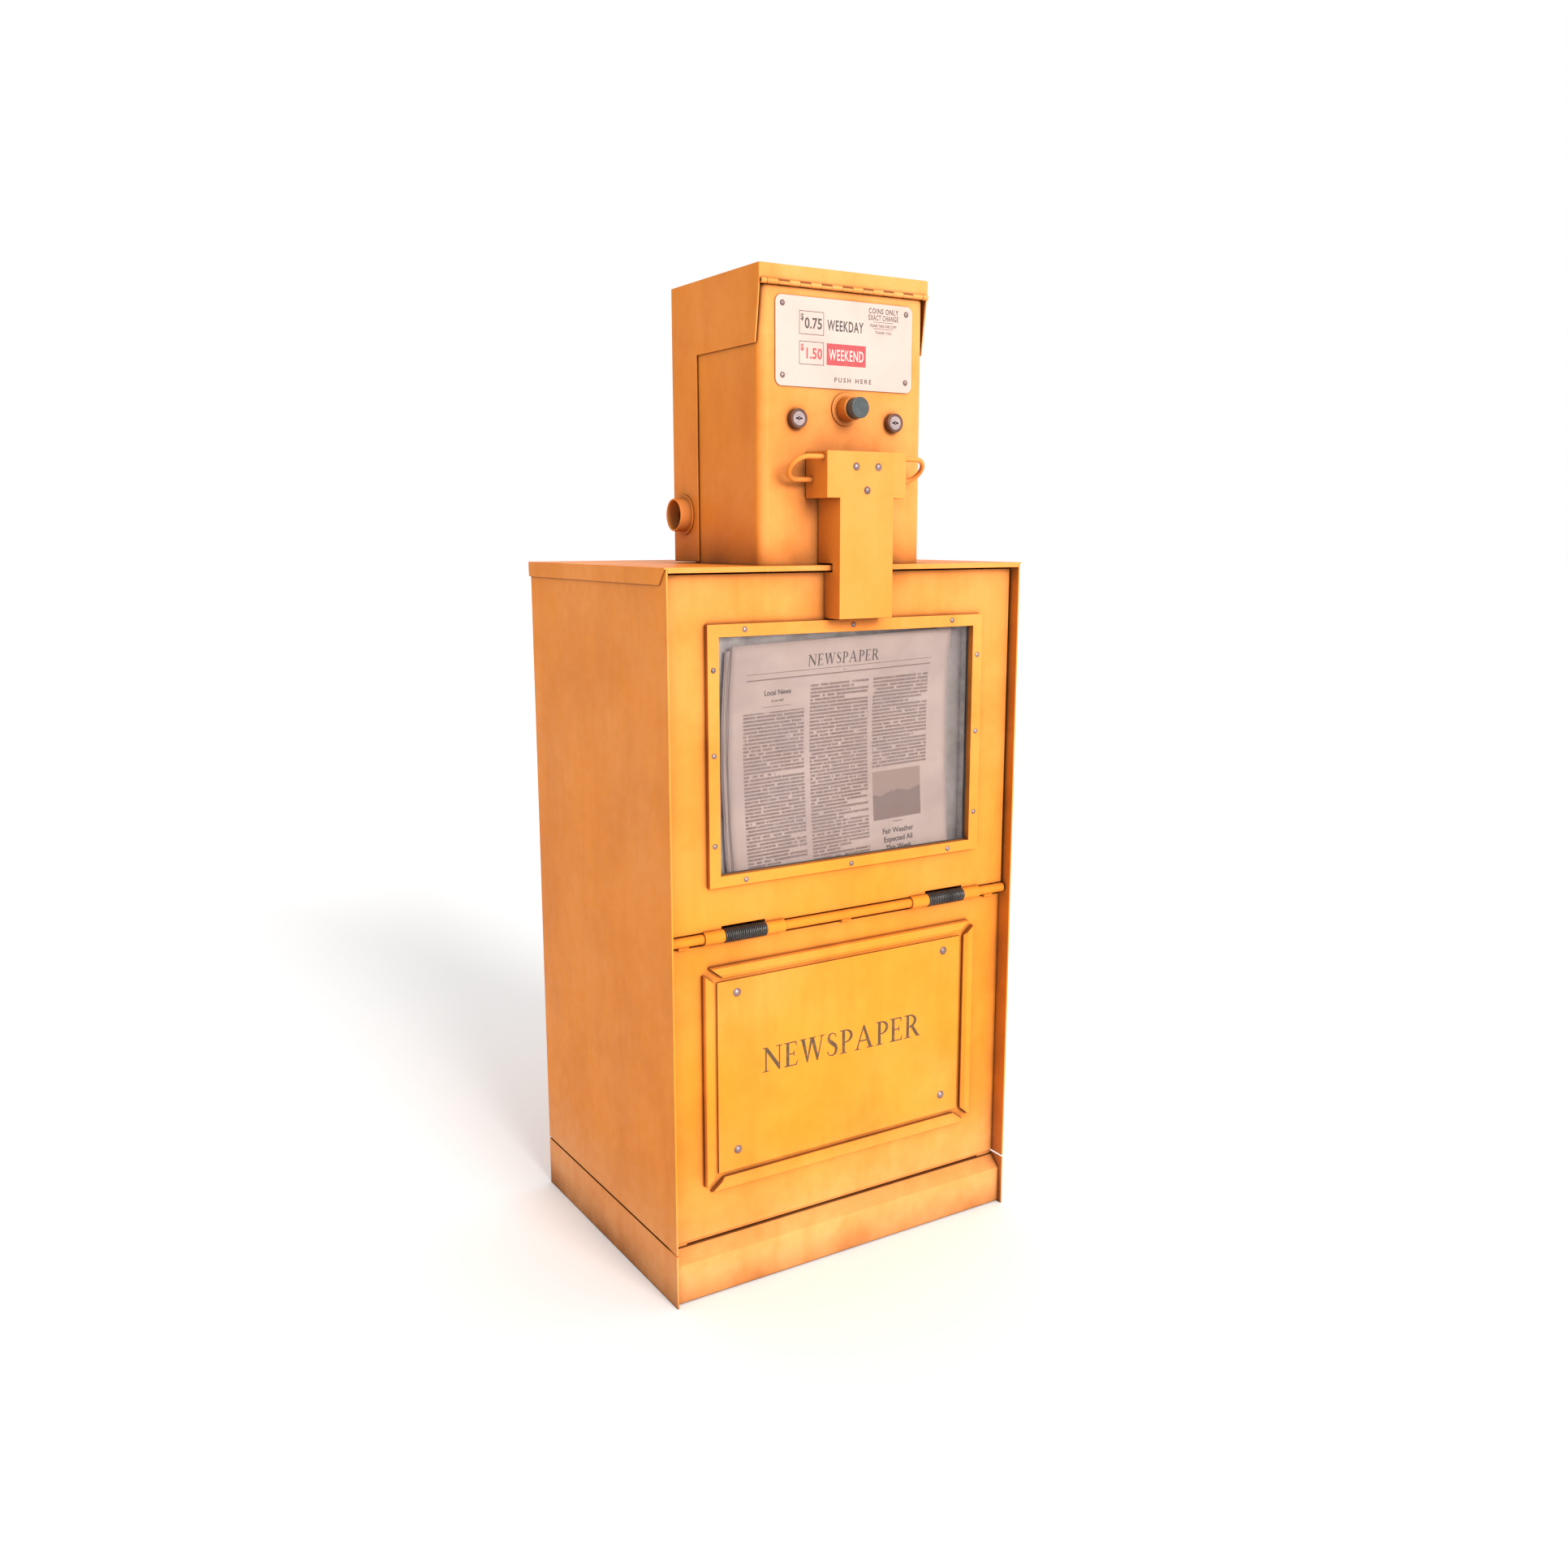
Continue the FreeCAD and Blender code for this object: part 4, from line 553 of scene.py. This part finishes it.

# %% [markdown]
# ## The return spring on the plunger
#
# Behind the face a compression spring pushes the coin return plunger out again. It shortens as
# the plunger goes in; here it is wound once, at the length of its place in the frame, and rides on
# the cabinet with a mesh of its own.

# %% Wind the return spring
push_low, push_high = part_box("plunger_spring")
push_axis = (push_low + push_high) / 2
push_wire = 0.75 * MM
push_radius = (push_high.x - push_low.x) / 2 - push_wire
PUSH_TURNS = 7
coil = helix(Vector((push_axis.x, push_low.y + push_wire, push_axis.z)),
             Vector((push_axis.x, push_high.y - push_wire, push_axis.z)), push_radius, PUSH_TURNS)
return_spring = add_wire("return_spring", coil, push_wire, inner_steel, "cabinet")
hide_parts("plunger_spring")
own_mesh(return_spring)

# %% [markdown]
# ## Sleeves at the ends of the hood's hinge
#
# The hinge is a little shorter than the hood is wide. A turned sleeve at each end fills the
# corner and keeps the weather out. It sits round the pin's own line, so it turns with the hood
# without touching anything. It is a lathe shape: a small outline swept once round an axis.


# %% Turn the hinge sleeves
def turned(name, outline, centre, material, body, sides=40):
    """A ring turned round the x axis; the outline is a closed list of (x, radius)."""
    points, faces = [], []
    count = len(outline)
    for side in range(sides):
        angle = 2 * math.pi * side / sides
        points += [centre + Vector((x, r * math.cos(angle), r * math.sin(angle)))
                   for x, r in outline]
        after = (side + 1) % sides
        for index in range(count):
            neighbour = (index + 1) % count
            faces.append((side * count + index, side * count + neighbour,
                          after * count + neighbour, after * count + index))
    return add_piece(name, points, faces, material, body, smooth=False)


hood_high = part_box("hood_shell")[1]
pin_axis = (pin_low + pin_high) / 2
SLEEVE_RADIUS, SLEEVE_BORE, SLEEVE_EDGE = 3.3 * MM, 1.3 * MM, 0.5 * MM
SLEEVE_GAP, HOOD_WALL = 0.4 * MM, 1.8 * MM
sleeve_start = pin_high.x + SLEEVE_GAP
sleeve_end = hood_high.x - HOOD_WALL
for side, sign in (("left", -1), ("right", 1)):
    outline = [(sleeve_start, SLEEVE_BORE), (sleeve_end, SLEEVE_BORE), (sleeve_end, SLEEVE_RADIUS),
               (sleeve_start + SLEEVE_EDGE, SLEEVE_RADIUS),
               (sleeve_start, SLEEVE_RADIUS - SLEEVE_EDGE)]
    outline = [(sign * x, r) for x, r in outline][::sign]
    sleeve = turned(f"hinge_sleeve_{side}", outline, Vector((0, pin_axis.y, pin_axis.z)),
                    yellow_paint, "hood")
print(f"hinge sleeves {(sleeve_end - sleeve_start) * 1000:.1f} mm long")

# %% [markdown]
# ## Finishes for print
#
# Printer's ink is thin and never quite even. The plate's word is painted shade: a flat dark brown
# sheet for the shade inside engraved strokes, lighter in random patches. The same recipe as for the
# dark parts suits both, with other colours.
# The page itself needs more: rows of small type are far too fine to model letter by letter, so
# they are drawn by the paper's own finish. The page carries a map in metres, across and down.
# From it the recipe counts the line, breaks the line into words and the words into strokes with
# stretched noise, and keeps them inside the columns. It also draws the rules and a hazy picture
# of hills.

# %% Mix the inks and the printed page
dark_ink = dark_solid("dark_ink", rgb(0.055, 0.045, 0.040), rgb(0.13, 0.10, 0.09), 0.5)
red_ink = dark_solid("red_ink", rgb(0.42, 0.045, 0.050), rgb(0.48, 0.085, 0.080), 0.42)
white_ink = dark_solid("white_ink", rgb(0.62, 0.52, 0.46), rgb(0.55, 0.42, 0.37), 0.42)
grey_ink = dark_solid("grey_ink", rgb(0.075, 0.045, 0.040), rgb(0.15, 0.09, 0.08), 0.5)
# Painted shade: the plate's word is a flat dark brown sheet for the shade inside engraved strokes.
engraving_shade = dark_solid("painted_engraving_shade", rgb(0.075, 0.040, 0.010), rgb(0.34, 0.125, 0.022), 0.5, 90)
PAPER_COLOUR, PAPER_STAIN = rgb(0.80, 0.73, 0.68), rgb(0.54, 0.47, 0.43)
PAGE_WIDTH, PAGE_HEIGHT = 318 * MM, 295 * MM
MARGIN = 23 * MM
LINE_PITCH = 4.35 * MM
COLUMN_STARTS = (20 * MM, 112 * MM, 203 * MM)
COLUMN_WIDTH = 84 * MM
TEXT_BLOCKS = ((0, 80, 285), (1, 52, 285), (2, 52, 165))      # column, top and foot in mm
RULES = ((34.6, 35.3), (41.2, 42.6))                          # top and foot in mm
PICTURE = (203 * MM, 277 * MM, 170 * MM, 232 * MM)            # left, right, top, foot
WORDS_PER_METRE, STROKES_PER_METRE = 210, 900
HILL_TOP, HILL_RISE = 218 * MM, 42 * MM


def printed_page(name):
    page = Finish(name)
    spot = page.step("UVMap", uv_map="page").outputs[0]
    across, down = page.step("SeparateXYZ", {0: spot}).outputs[:2]
    soft = 0.25 * MM

    def inside(value, low, high, edge=soft):
        up = page.between(value, low - edge, low + edge)
        return page.sum("MULTIPLY", up, page.between(value, high - edge, high + edge, 1, 0))

    rows = page.sum("DIVIDE", down, LINE_PITCH)
    row, height = page.sum("FLOOR", rows), page.sum("FRACT", rows)
    word_place = page.step("CombineXYZ", {0: page.sum("MULTIPLY", across, WORDS_PER_METRE),
                                          1: page.sum("MULTIPLY", row, 5.3)}).outputs[0]
    words = page.between(page.clouds(1.0, 1, 0.3, word_place), 0.32, 0.37)
    letter_place = page.step("CombineXYZ", {0: page.sum("MULTIPLY", across, STROKES_PER_METRE),
                                            1: page.sum("MULTIPLY", row, 7.7),
                                            2: page.sum("MULTIPLY", height, 1.7)}).outputs[0]
    letters = page.between(page.clouds(1.0, 2, 0.5, letter_place), 0.26, 0.46)
    line_band = inside(height, 0.17, 0.80, 0.10)
    strokes = page.sum("MULTIPLY", words, page.sum("MULTIPLY", letters, line_band))
    blocks = 0.0
    for column, top, bottom in TEXT_BLOCKS:
        start = COLUMN_STARTS[column]
        ends = page.step("TexWhiteNoise", {"W": page.sum("ADD", row, column * 50 + 3)},
                         noise_dimensions="1D").outputs["Value"]
        last = page.sum("LESS_THAN", ends, 0.13)
        edge = page.sum("MULTIPLY_ADD", page.sum("MULTIPLY", last, ends), -4.5 * COLUMN_WIDTH,
                        start + COLUMN_WIDTH)
        block = page.sum("MULTIPLY", page.sum("LESS_THAN", across, edge),
                         page.sum("GREATER_THAN", across, start))
        block = page.sum("MULTIPLY", block, inside(down, top * MM, bottom * MM))
        blocks = page.sum("MAXIMUM", blocks, block)
    ink = page.sum("MULTIPLY", page.sum("MULTIPLY", strokes, blocks), 0.95)
    wide = inside(across, MARGIN, 289 * MM)
    for top, bottom in RULES:
        rule = page.sum("MULTIPLY", wide, inside(down, top * MM, bottom * MM, 0.1 * MM))
        ink = page.sum("MAXIMUM", ink, rule)
    wear = page.between(page.clouds(40, 3, 0.6), 0.3, 0.7, 0.80, 1.0)
    ink = page.sum("MULTIPLY", ink, wear)
    patches = page.between(page.clouds(11, 4, 0.6), 0.40, 0.70)
    paper = page.blend(page.sum("MULTIPLY", patches, 0.65), PAPER_COLOUR, PAPER_STAIN)
    colour = page.blend(ink, paper, rgb(0.075, 0.055, 0.048))
    hills = page.step("CombineXYZ", {0: page.sum("MULTIPLY", across, 30)}).outputs[0]
    ridge = page.sum("MULTIPLY_ADD", page.clouds(1.0, 3, 0.6, hills), -HILL_RISE, HILL_TOP)
    ground = page.sum("MULTIPLY", page.sum("GREATER_THAN", down, ridge), 0.65)
    grain = page.between(page.clouds(330, 4, 0.7), 0.35, 0.65, 0.0, 0.15)
    tone = page.sum("ADD", ground, page.sum("MULTIPLY", grain, page.sum("ADD", ground, 0.3)))
    picture = page.blend(tone, rgb(0.40, 0.33, 0.30), rgb(0.085, 0.065, 0.06))
    frame_mask = page.sum("MULTIPLY", inside(across, *PICTURE[:2]), inside(down, *PICTURE[2:]))
    colour = page.blend(frame_mask, colour, picture)
    edge_shade = page.between(page.crevice(0.012), 0.3, 0.95, 0.6, 0)
    colour = page.blend(edge_shade, colour, rgb(0.20, 0.15, 0.13))
    return page.finish(colour, 0.75, page.clouds(800, 3), 0.1, 0.0002, Specular_IOR_Level=0.2)


newsprint = printed_page("newsprint")
print("print finishes mixed")

# %% [markdown]
# ## The newspapers
#
# Two folded papers stand behind the pane. Each is a few leaves that have gone slack in the damp,
# so they bow and curl a little, and lean to one side. A sheet this stiff is best bent by a formula
# of height over the page: seeded noise gives broad bows, the free edges wander a millimetre or
# so, and the slack middle sags sideways. Every leaf is a closed thin solid, and the leaves behind
# bow less and peep out at the edge.


# %% Fold the newspapers
papers_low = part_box("newspapers")[0]
PAPER_LEAN = math.radians(1.8)
PAGE_MIDDLE = Vector((0, 0, 641.9 * MM))
TOP_DRIFT, FOOT_DRIFT, SAG = 11, 4, 5          # in mm
LEAF_THICKNESS = 0.45 * MM
LEAF_STEP = 0.95 * MM
LEAF_INSET = 0.5 * MM
BOW = 1.15 * MM
PAPER_STEP = 3.4 * MM
FRONT_SEED, BACK_SEED = 7, 21
PAPERS = (("front_paper", 0.0, 0.0, papers_low.y, FRONT_SEED),
          ("back_paper", -5 * MM, 5 * MM, papers_low.y + PAPER_STEP, BACK_SEED))
LEAVES = 3


def page_point(across, down, depth, shift=0.0, drop=0.0):
    """A place on a leaning page, from metres across and down it; its middle sags to the left."""
    end = 2 * down / PAGE_HEIGHT - 1
    drift = ((TOP_DRIFT if end < 0 else FOOT_DRIFT) * end ** 2 - SAG) * MM
    sideways = across - PAGE_WIDTH / 2 + shift + drift
    up = PAGE_HEIGHT / 2 - down - drop
    lean = Vector((sideways * math.cos(PAPER_LEAN) - up * math.sin(PAPER_LEAN), 0,
                   sideways * math.sin(PAPER_LEAN) + up * math.cos(PAPER_LEAN)))
    return PAGE_MIDDLE + lean + Vector((0, depth, 0))


def page_bow(across, down, seed, amount):
    """How far a leaf stands towards the pane at a place on it."""
    broad = noise.noise(Vector((across * 7, down * 6, seed)))
    curl = noise.noise(Vector((across * 22, down * 13, seed + 5))) * 0.35
    return -(0.5 + broad + curl) * amount


def page_edge(down, seed):
    return noise.noise(Vector((down * 16, seed * 3.7, 1.3))) * 1.6 * MM


def fold_paper(name, shift, drop, depth, seed, columns=36, rows=34):
    points, faces, spots = [], [], []
    for leaf in range(LEAVES):
        base = len(points)
        inset = leaf * LEAF_INSET
        amount = BOW * (1 - 0.3 * leaf)
        for back in (0, 1):
            for row in range(rows + 1):
                down = inset * 0.6 + (PAGE_HEIGHT - inset) * row / rows
                left = page_edge(down, seed + leaf) - inset
                right = PAGE_WIDTH + page_edge(down, seed + leaf + 40) - inset
                for column in range(columns + 1):
                    across = left + (right - left) * column / columns
                    away = page_bow(across, down, seed, amount)
                    away += leaf * LEAF_STEP + back * LEAF_THICKNESS
                    points.append(page_point(across, down, depth + away, shift, drop))
                    spots.append((across if not leaf else 0.0, down if not leaf else 0.0))
        wide = columns + 1
        side = wide * (rows + 1)
        for row in range(rows):
            for column in range(columns):
                corner = base + row * wide + column
                square = (corner, corner + wide, corner + wide + 1, corner + 1)
                faces.append(square)
                faces.append(tuple(index + side for index in reversed(square)))
        rim = [base + column for column in range(columns)]
        rim += [base + row * wide + columns for row in range(rows)]
        rim += [base + rows * wide + column for column in range(columns, 0, -1)]
        rim += [base + row * wide for row in range(rows, 0, -1)]
        for index, corner in enumerate(rim):
            after = rim[(index + 1) % len(rim)]
            faces.append((corner, after, after + side, corner + side))
    paper = add_piece(name, points, faces, newsprint, "door")
    page_map = paper.data.uv_layers.new(name="page")
    for loop in paper.data.loops:
        page_map.data[loop.index].uv = spots[loop.vertex_index]
    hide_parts("newspapers")
    return paper


papers = [fold_paper(*paper) for paper in PAPERS]
print("papers", [len(paper.data.polygons) for paper in papers], "faces")

# %% [markdown]
# ## Words and lines
#
# Lettering is ink or enamel of almost no thickness. Each word is a flat outline that Blender's
# own font or a list of corner points gives, thickened by a few hundredths of a millimetre and
# laid on its surface by a small function that says where a flat place ends up. That way the same
# helper prints on a flat plate and on a bent page.


# %% Helpers for lettering
PRINT_THICKNESS = 0.05 * MM
CAPITAL_SHARE = 0.729          # a capital's height as a share of the font's size


def flat_words(text, height, squeeze=1.0, bold=0.0, spacing=1.0):
    """Points and faces of a line of text with its capitals this tall, from the origin."""
    curve = bpy.data.curves.new("words", "FONT")
    curve.body = text
    curve.size = height / CAPITAL_SHARE
    curve.resolution_u = 3
    curve.align_x = "CENTER"
    curve.offset = bold * height
    curve.space_character = spacing
    return flatten(curve, squeeze)


def flat_outlines(loops):
    """The same for closed lines of points; a line inside another is a hole."""
    curve = bpy.data.curves.new("outline", "CURVE")
    curve.dimensions = "2D"
    curve.fill_mode = "BOTH"
    for loop in loops:
        spline = curve.splines.new("POLY")
        spline.points.add(len(loop) - 1)
        for spot, point in zip(spline.points, loop):
            spot.co = (point[0], point[1], 0, 1)
        spline.use_cyclic_u = True
    return flatten(curve)


def flatten(curve, squeeze=1.0):
    curve.extrude = PRINT_THICKNESS / 2
    holder = bpy.data.objects.new("holder", curve)
    bpy.context.scene.collection.objects.link(holder)
    bpy.context.view_layer.update()
    mesh = bpy.data.meshes.new_from_object(holder)
    bpy.data.objects.remove(holder)
    shape = bmesh.new()
    shape.from_mesh(mesh)
    bmesh.ops.remove_doubles(shape, verts=shape.verts, dist=1e-7)
    shape.to_mesh(mesh)
    shape.free()
    points = [(point.co.x * squeeze, point.co.y, point.co.z) for point in mesh.vertices]
    return points, [tuple(face.vertices) for face in mesh.polygons]


def lay(name, parts, place, material, body):
    """Joins flat shapes, each at its own x and y, and lays them where place() says."""
    points, faces = [], []
    for (flat_points, flat_faces), x, y in parts:
        base = len(points)
        points += [place(x + point[0], y + point[1], point[2]) for point in flat_points]
        faces += [tuple(base + index for index in face) for face in flat_faces]
    piece = add_piece(name, points, faces, material, body, smooth=False)
    return piece


def bar(wide, tall):
    return flat_outlines([[(-wide / 2, -tall / 2), (wide / 2, -tall / 2),
                           (wide / 2, tall / 2), (-wide / 2, tall / 2)]])


print("lettering helpers ready")

# %% [markdown]
# ## Serif capitals
#
# The cabinet's plate and the paper's heading carry the same plain word in serif capitals, of the
# kind that a sign engraver cuts: thin and thick strokes with small feet. The built-in font has no
# serifs, so the few letters that the word needs are drawn here as corner points, with a capital
# one unit tall.


# %% Draw the serif capitals
def arc(x, y, wide, tall, start, end, steps=10):
    """Points on part of an ellipse, in degrees."""
    angles = [math.radians(start + (end - start) * step / steps) for step in range(steps + 1)]
    return [(x + wide * math.cos(angle), y + tall * math.sin(angle)) for angle in angles]


def ribbon(line, widths):
    """An outline round a line of points with its own width at each point."""
    left, right = [], []
    for index, (x, y) in enumerate(line):
        before, after = line[max(index - 1, 0)], line[min(index + 1, len(line) - 1)]
        along = Vector((after[0] - before[0], after[1] - before[1])).normalized()
        half = widths[index] / 2
        left.append((x - along.y * half, y + along.x * half))
        right.append((x + along.y * half, y - along.x * half))
    return left + right[::-1]


BOWL_LETTER_FOOT = [(0, 0), (.36, 0), (.36, .03), (.26, .05)]
BOWL_LETTER_TOP = [(0, 1), (0, .97), (.12, .95), (.12, .05), (0, .03)]
LETTERS = {
    "E": (.64, [[(0, 0), (.60, 0), (.64, .20), (.61, .20), (.54, .05), (.24, .05), (.24, .48),
                 (.42, .48), (.45, .40), (.48, .40), (.48, .62), (.45, .62), (.42, .53), (.24, .53),
                 (.24, .95), (.50, .95), (.57, .81), (.60, .81), (.57, 1), (0, 1), (0, .97),
                 (.10, .94), (.10, .06), (0, .03)]]),
    "N": (.90, [[(0, 0), (.29, 0), (.29, .03), (.19, .05), (.19, .80), (.74, 0), (.80, 0),
                 (.80, .95), (.90, .97), (.90, 1), (.61, 1), (.61, .97), (.74, .95), (.74, .27),
                 (.22, 1), (0, 1), (0, .97), (.12, .93), (.12, .05), (0, .03)]]),
    "W": (1.19, [[(0, 1), (0, .97), (.08, .95), (.33, 0), (.39, 0), (.573, .77), (.80, 0),
                  (.87, 0), (1.08, .95), (1.18, .97), (1.18, 1), (.92, 1), (.92, .97), (1.02, .95),
                  (.862, .235), (.68, .95), (.76, .97), (.76, 1), (.42, 1), (.42, .97), (.50, .95),
                  (.375, .235), (.24, .95), (.32, .97), (.32, 1)]]),
    "A": (.97, [[(0, 0), (.30, 0), (.30, .03), (.18, .05), (.27, .33), (.61, .33), (.71, .05),
                 (.60, .03), (.60, 0), (.97, 0), (.97, .03), (.87, .05), (.50, 1.02), (.44, 1.02),
                 (.10, .05), (0, .03)], [(.29, .39), (.59, .39), (.44, .84)]]),
    "P": (.64, [BOWL_LETTER_FOOT + [(.26, .44)] + arc(.30, .72, .34, .28, -90, 90)
                + BOWL_LETTER_TOP, [(.26, .95)] + arc(.26, .72, .24, .23, 90, -90) + [(.26, .49)]]),
    "R": (.86, [BOWL_LETTER_FOOT + [(.26, .46), (.34, .46), (.64, 0), (.86, 0), (.86, .03),
                (.78, .05), (.50, .47)] + arc(.30, .73, .34, .27, -50, 90) + BOWL_LETTER_TOP,
                [(.26, .95)] + arc(.26, .735, .24, .215, 90, -90) + [(.26, .52)]]),
    "S": (.55, [ribbon([(.47, .77), (.42, .90), (.28, .975), (.15, .93), (.10, .80), (.14, .67),
                        (.27, .56), (.42, .43), (.475, .28), (.43, .11), (.28, .03), (.13, .07),
                        (.06, .20), (.04, .26)],
                       [.02, .05, .05, .09, .12, .15, .17, .16, .14, .11, .06, .05, .05, .02])]),
}
LETTER_GAP = 0.08


def serif_word(text, cap_height):
    """A centred word as flat shapes ready to lay, and its width."""
    width = sum(LETTERS[letter][0] for letter in text) + LETTER_GAP * (len(text) - 1)
    parts, x = [], -width / 2 * cap_height
    for letter in text:
        wide, loops = LETTERS[letter]
        loops = [[(px * cap_height, py * cap_height) for px, py in loop] for loop in loops]
        parts.append((flat_outlines(loops), x, 0))
        x += (wide + LETTER_GAP) * cap_height
    return parts, width * cap_height


plate_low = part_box("name_plate")[0]
parts, word_width = serif_word("NEWSPAPER", 31.5 * MM)
WORD_LEVEL = 263.5 * MM
# The plate's word is laid as a flat sheet of painted shade, standing for engraved letters.
lay("name_plate_word", parts,
    lambda x, y, z: (x, plate_low.y - PRINT_THICKNESS / 2 - z, WORD_LEVEL + y),
    engraving_shade, "cabinet")
print(f"the plate's word is {word_width * 1000:.0f} mm wide")

# %% [markdown]
# ## The paper's headings
#
# Headings are bold enough to be seen through the pane, so they are laid as letters. They follow
# the page's own bend, which the page function gives.


# %% Print the headings
def on_page(x, y, z):
    bow = page_bow(x, y, FRONT_SEED, BOW)
    return page_point(x, y, papers_low.y + bow - PRINT_THICKNESS - z)


def page_parts(parts, across, down):
    """Flat shapes turned to metres across and down the page."""
    return [(([(px, -py, pz) for px, py, pz in shape[0]], shape[1]), across + x, down - y)
            for shape, x, y in parts]


masthead, masthead_width = serif_word("NEWSPAPER", 13.5 * MM)
lines = page_parts(masthead, PAGE_WIDTH * 0.495, 31 * MM)
for text, tall, across, down in (
        ("Local News", 6.2, 66, 60.5), ("by our staff", 2.8, 66, 68.5),
        ("No. 1", 1.8, 160, 39.6), ("The hills at noon", 1.8, 240, 237),
        ("Fair Weather", 7.0, 240, 251), ("Expected All", 7.0, 240, 262),
        ("This Week", 7.0, 240, 273)):
    lines += page_parts([(flat_words(text, tall * MM, 0.92, 0.035), 0, 0)], across * MM, down * MM)
for wide, across, down in ((38, 66, 74), (52, 240, 279)):
    lines += page_parts([(bar(wide * MM, 0.5 * MM), 0, 0)], across * MM, down * MM)
headings = lay("paper_headings", lines, on_page, dark_ink, "door")
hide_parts("newspapers")
print(f"{len(lines)} shapes laid on the front page, masthead {masthead_width * 1000:.0f} mm wide")

# %% [markdown]
# ## The price plate's print
#
# Two boxed prices with the days that they hold for, and a small note on payment, all in plain
# words. Narrow signwriter's capitals are the built-in ones squeezed sideways and made bolder.

# %% Print the price plate
CARD_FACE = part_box("price_card")[0].y
BOX_HEIGHT = 25.7 * MM


def on_card(lift):
    return lambda x, y, z: (x, CARD_FACE - lift - PRINT_THICKNESS / 2 - z, y)


def frame_lines(left, right, low, high, thick=0.7 * MM):
    """A thin rectangular frame as one outline with a hole."""
    outer = [(left, low), (right, low), (right, high), (left, high)]
    inner = [(left + thick, low + thick), (right - thick, low + thick),
             (right - thick, high - thick), (left + thick, high - thick)]
    return flat_outlines([outer, inner])


def card_words(rows, bold=0.03):
    return [(flat_words(text, tall * MM, squeeze, bold, spacing), x * MM, z * MM)
            for text, tall, squeeze, spacing, x, z in rows]


# Each row: text, capital height, squeeze, letter spacing, middle x and base line z, in mm.
dark_print = card_words((("0.75", 12.0, 0.84, 1.02, -44.6, 1141.0),
                         ("$", 7.2, 0.85, 1.0, -60.0, 1149.6),
                         ("WEEKDAY", 12.0, 0.60, 1.12, -0.5, 1140.6)))
red_print = card_words((("1.50", 12.0, 0.84, 1.02, -44.6, 1108.0),
                        ("$", 7.2, 0.85, 1.0, -60.0, 1116.6)))
red_print.append((bar(55 * MM, 24 * MM), 1 * MM, 1114.2 * MM))
grey_print = [(frame_lines(-64 * MM, -30.4 * MM, low * MM, low * MM + BOX_HEIGHT), 0, 0)
              for low in (1134, 1101)]
DOTS = "." * 32
grey_print += card_words((("COINS ONLY", 6.0, 0.78, 1.15, 53.5, 1164.0),
                          ("EXACT CHANGE", 6.0, 0.62, 1.15, 53.5, 1156.6),
                          (DOTS, 4.2, 0.70, 1.0, 53.5, 1154.2),
                          ("PLEASE TAKE ONE COPY", 3.2, 0.72, 1.1, 53.5, 1148.9),
                          (DOTS, 4.2, 0.70, 1.0, 53.5, 1146.8),
                          ("THANK YOU", 3.0, 0.85, 1.2, 53.5, 1141.4),
                          ("PUSH HERE", 5.2, 1.05, 1.5, 10.5, 1083.8)))
white_print = card_words((("WEEKEND", 12.5, 0.56, 1.12, 1.2, 1108.0),), 0.015)
for name, parts, lift, ink in (("price_print_dark", dark_print, 0, dark_ink),
                               ("price_print_red", red_print, 0, red_ink),
                               ("price_print_grey", grey_print, 0, grey_ink),
                               ("price_print_white", white_print, PRINT_THICKNESS, white_ink)):
    lay(name, parts, on_card(lift), ink, "cabinet")
print("price plate printed")

# %% [markdown]
# ## The steel frame's size
#
# Finishes and lettering mustn't change how big the box is. The steel frame's corners were kept
# at the start, and they are printed here.

# %% Print the steel frame's size
print("steel frame from", list(cad_low), "to", list(cad_high))
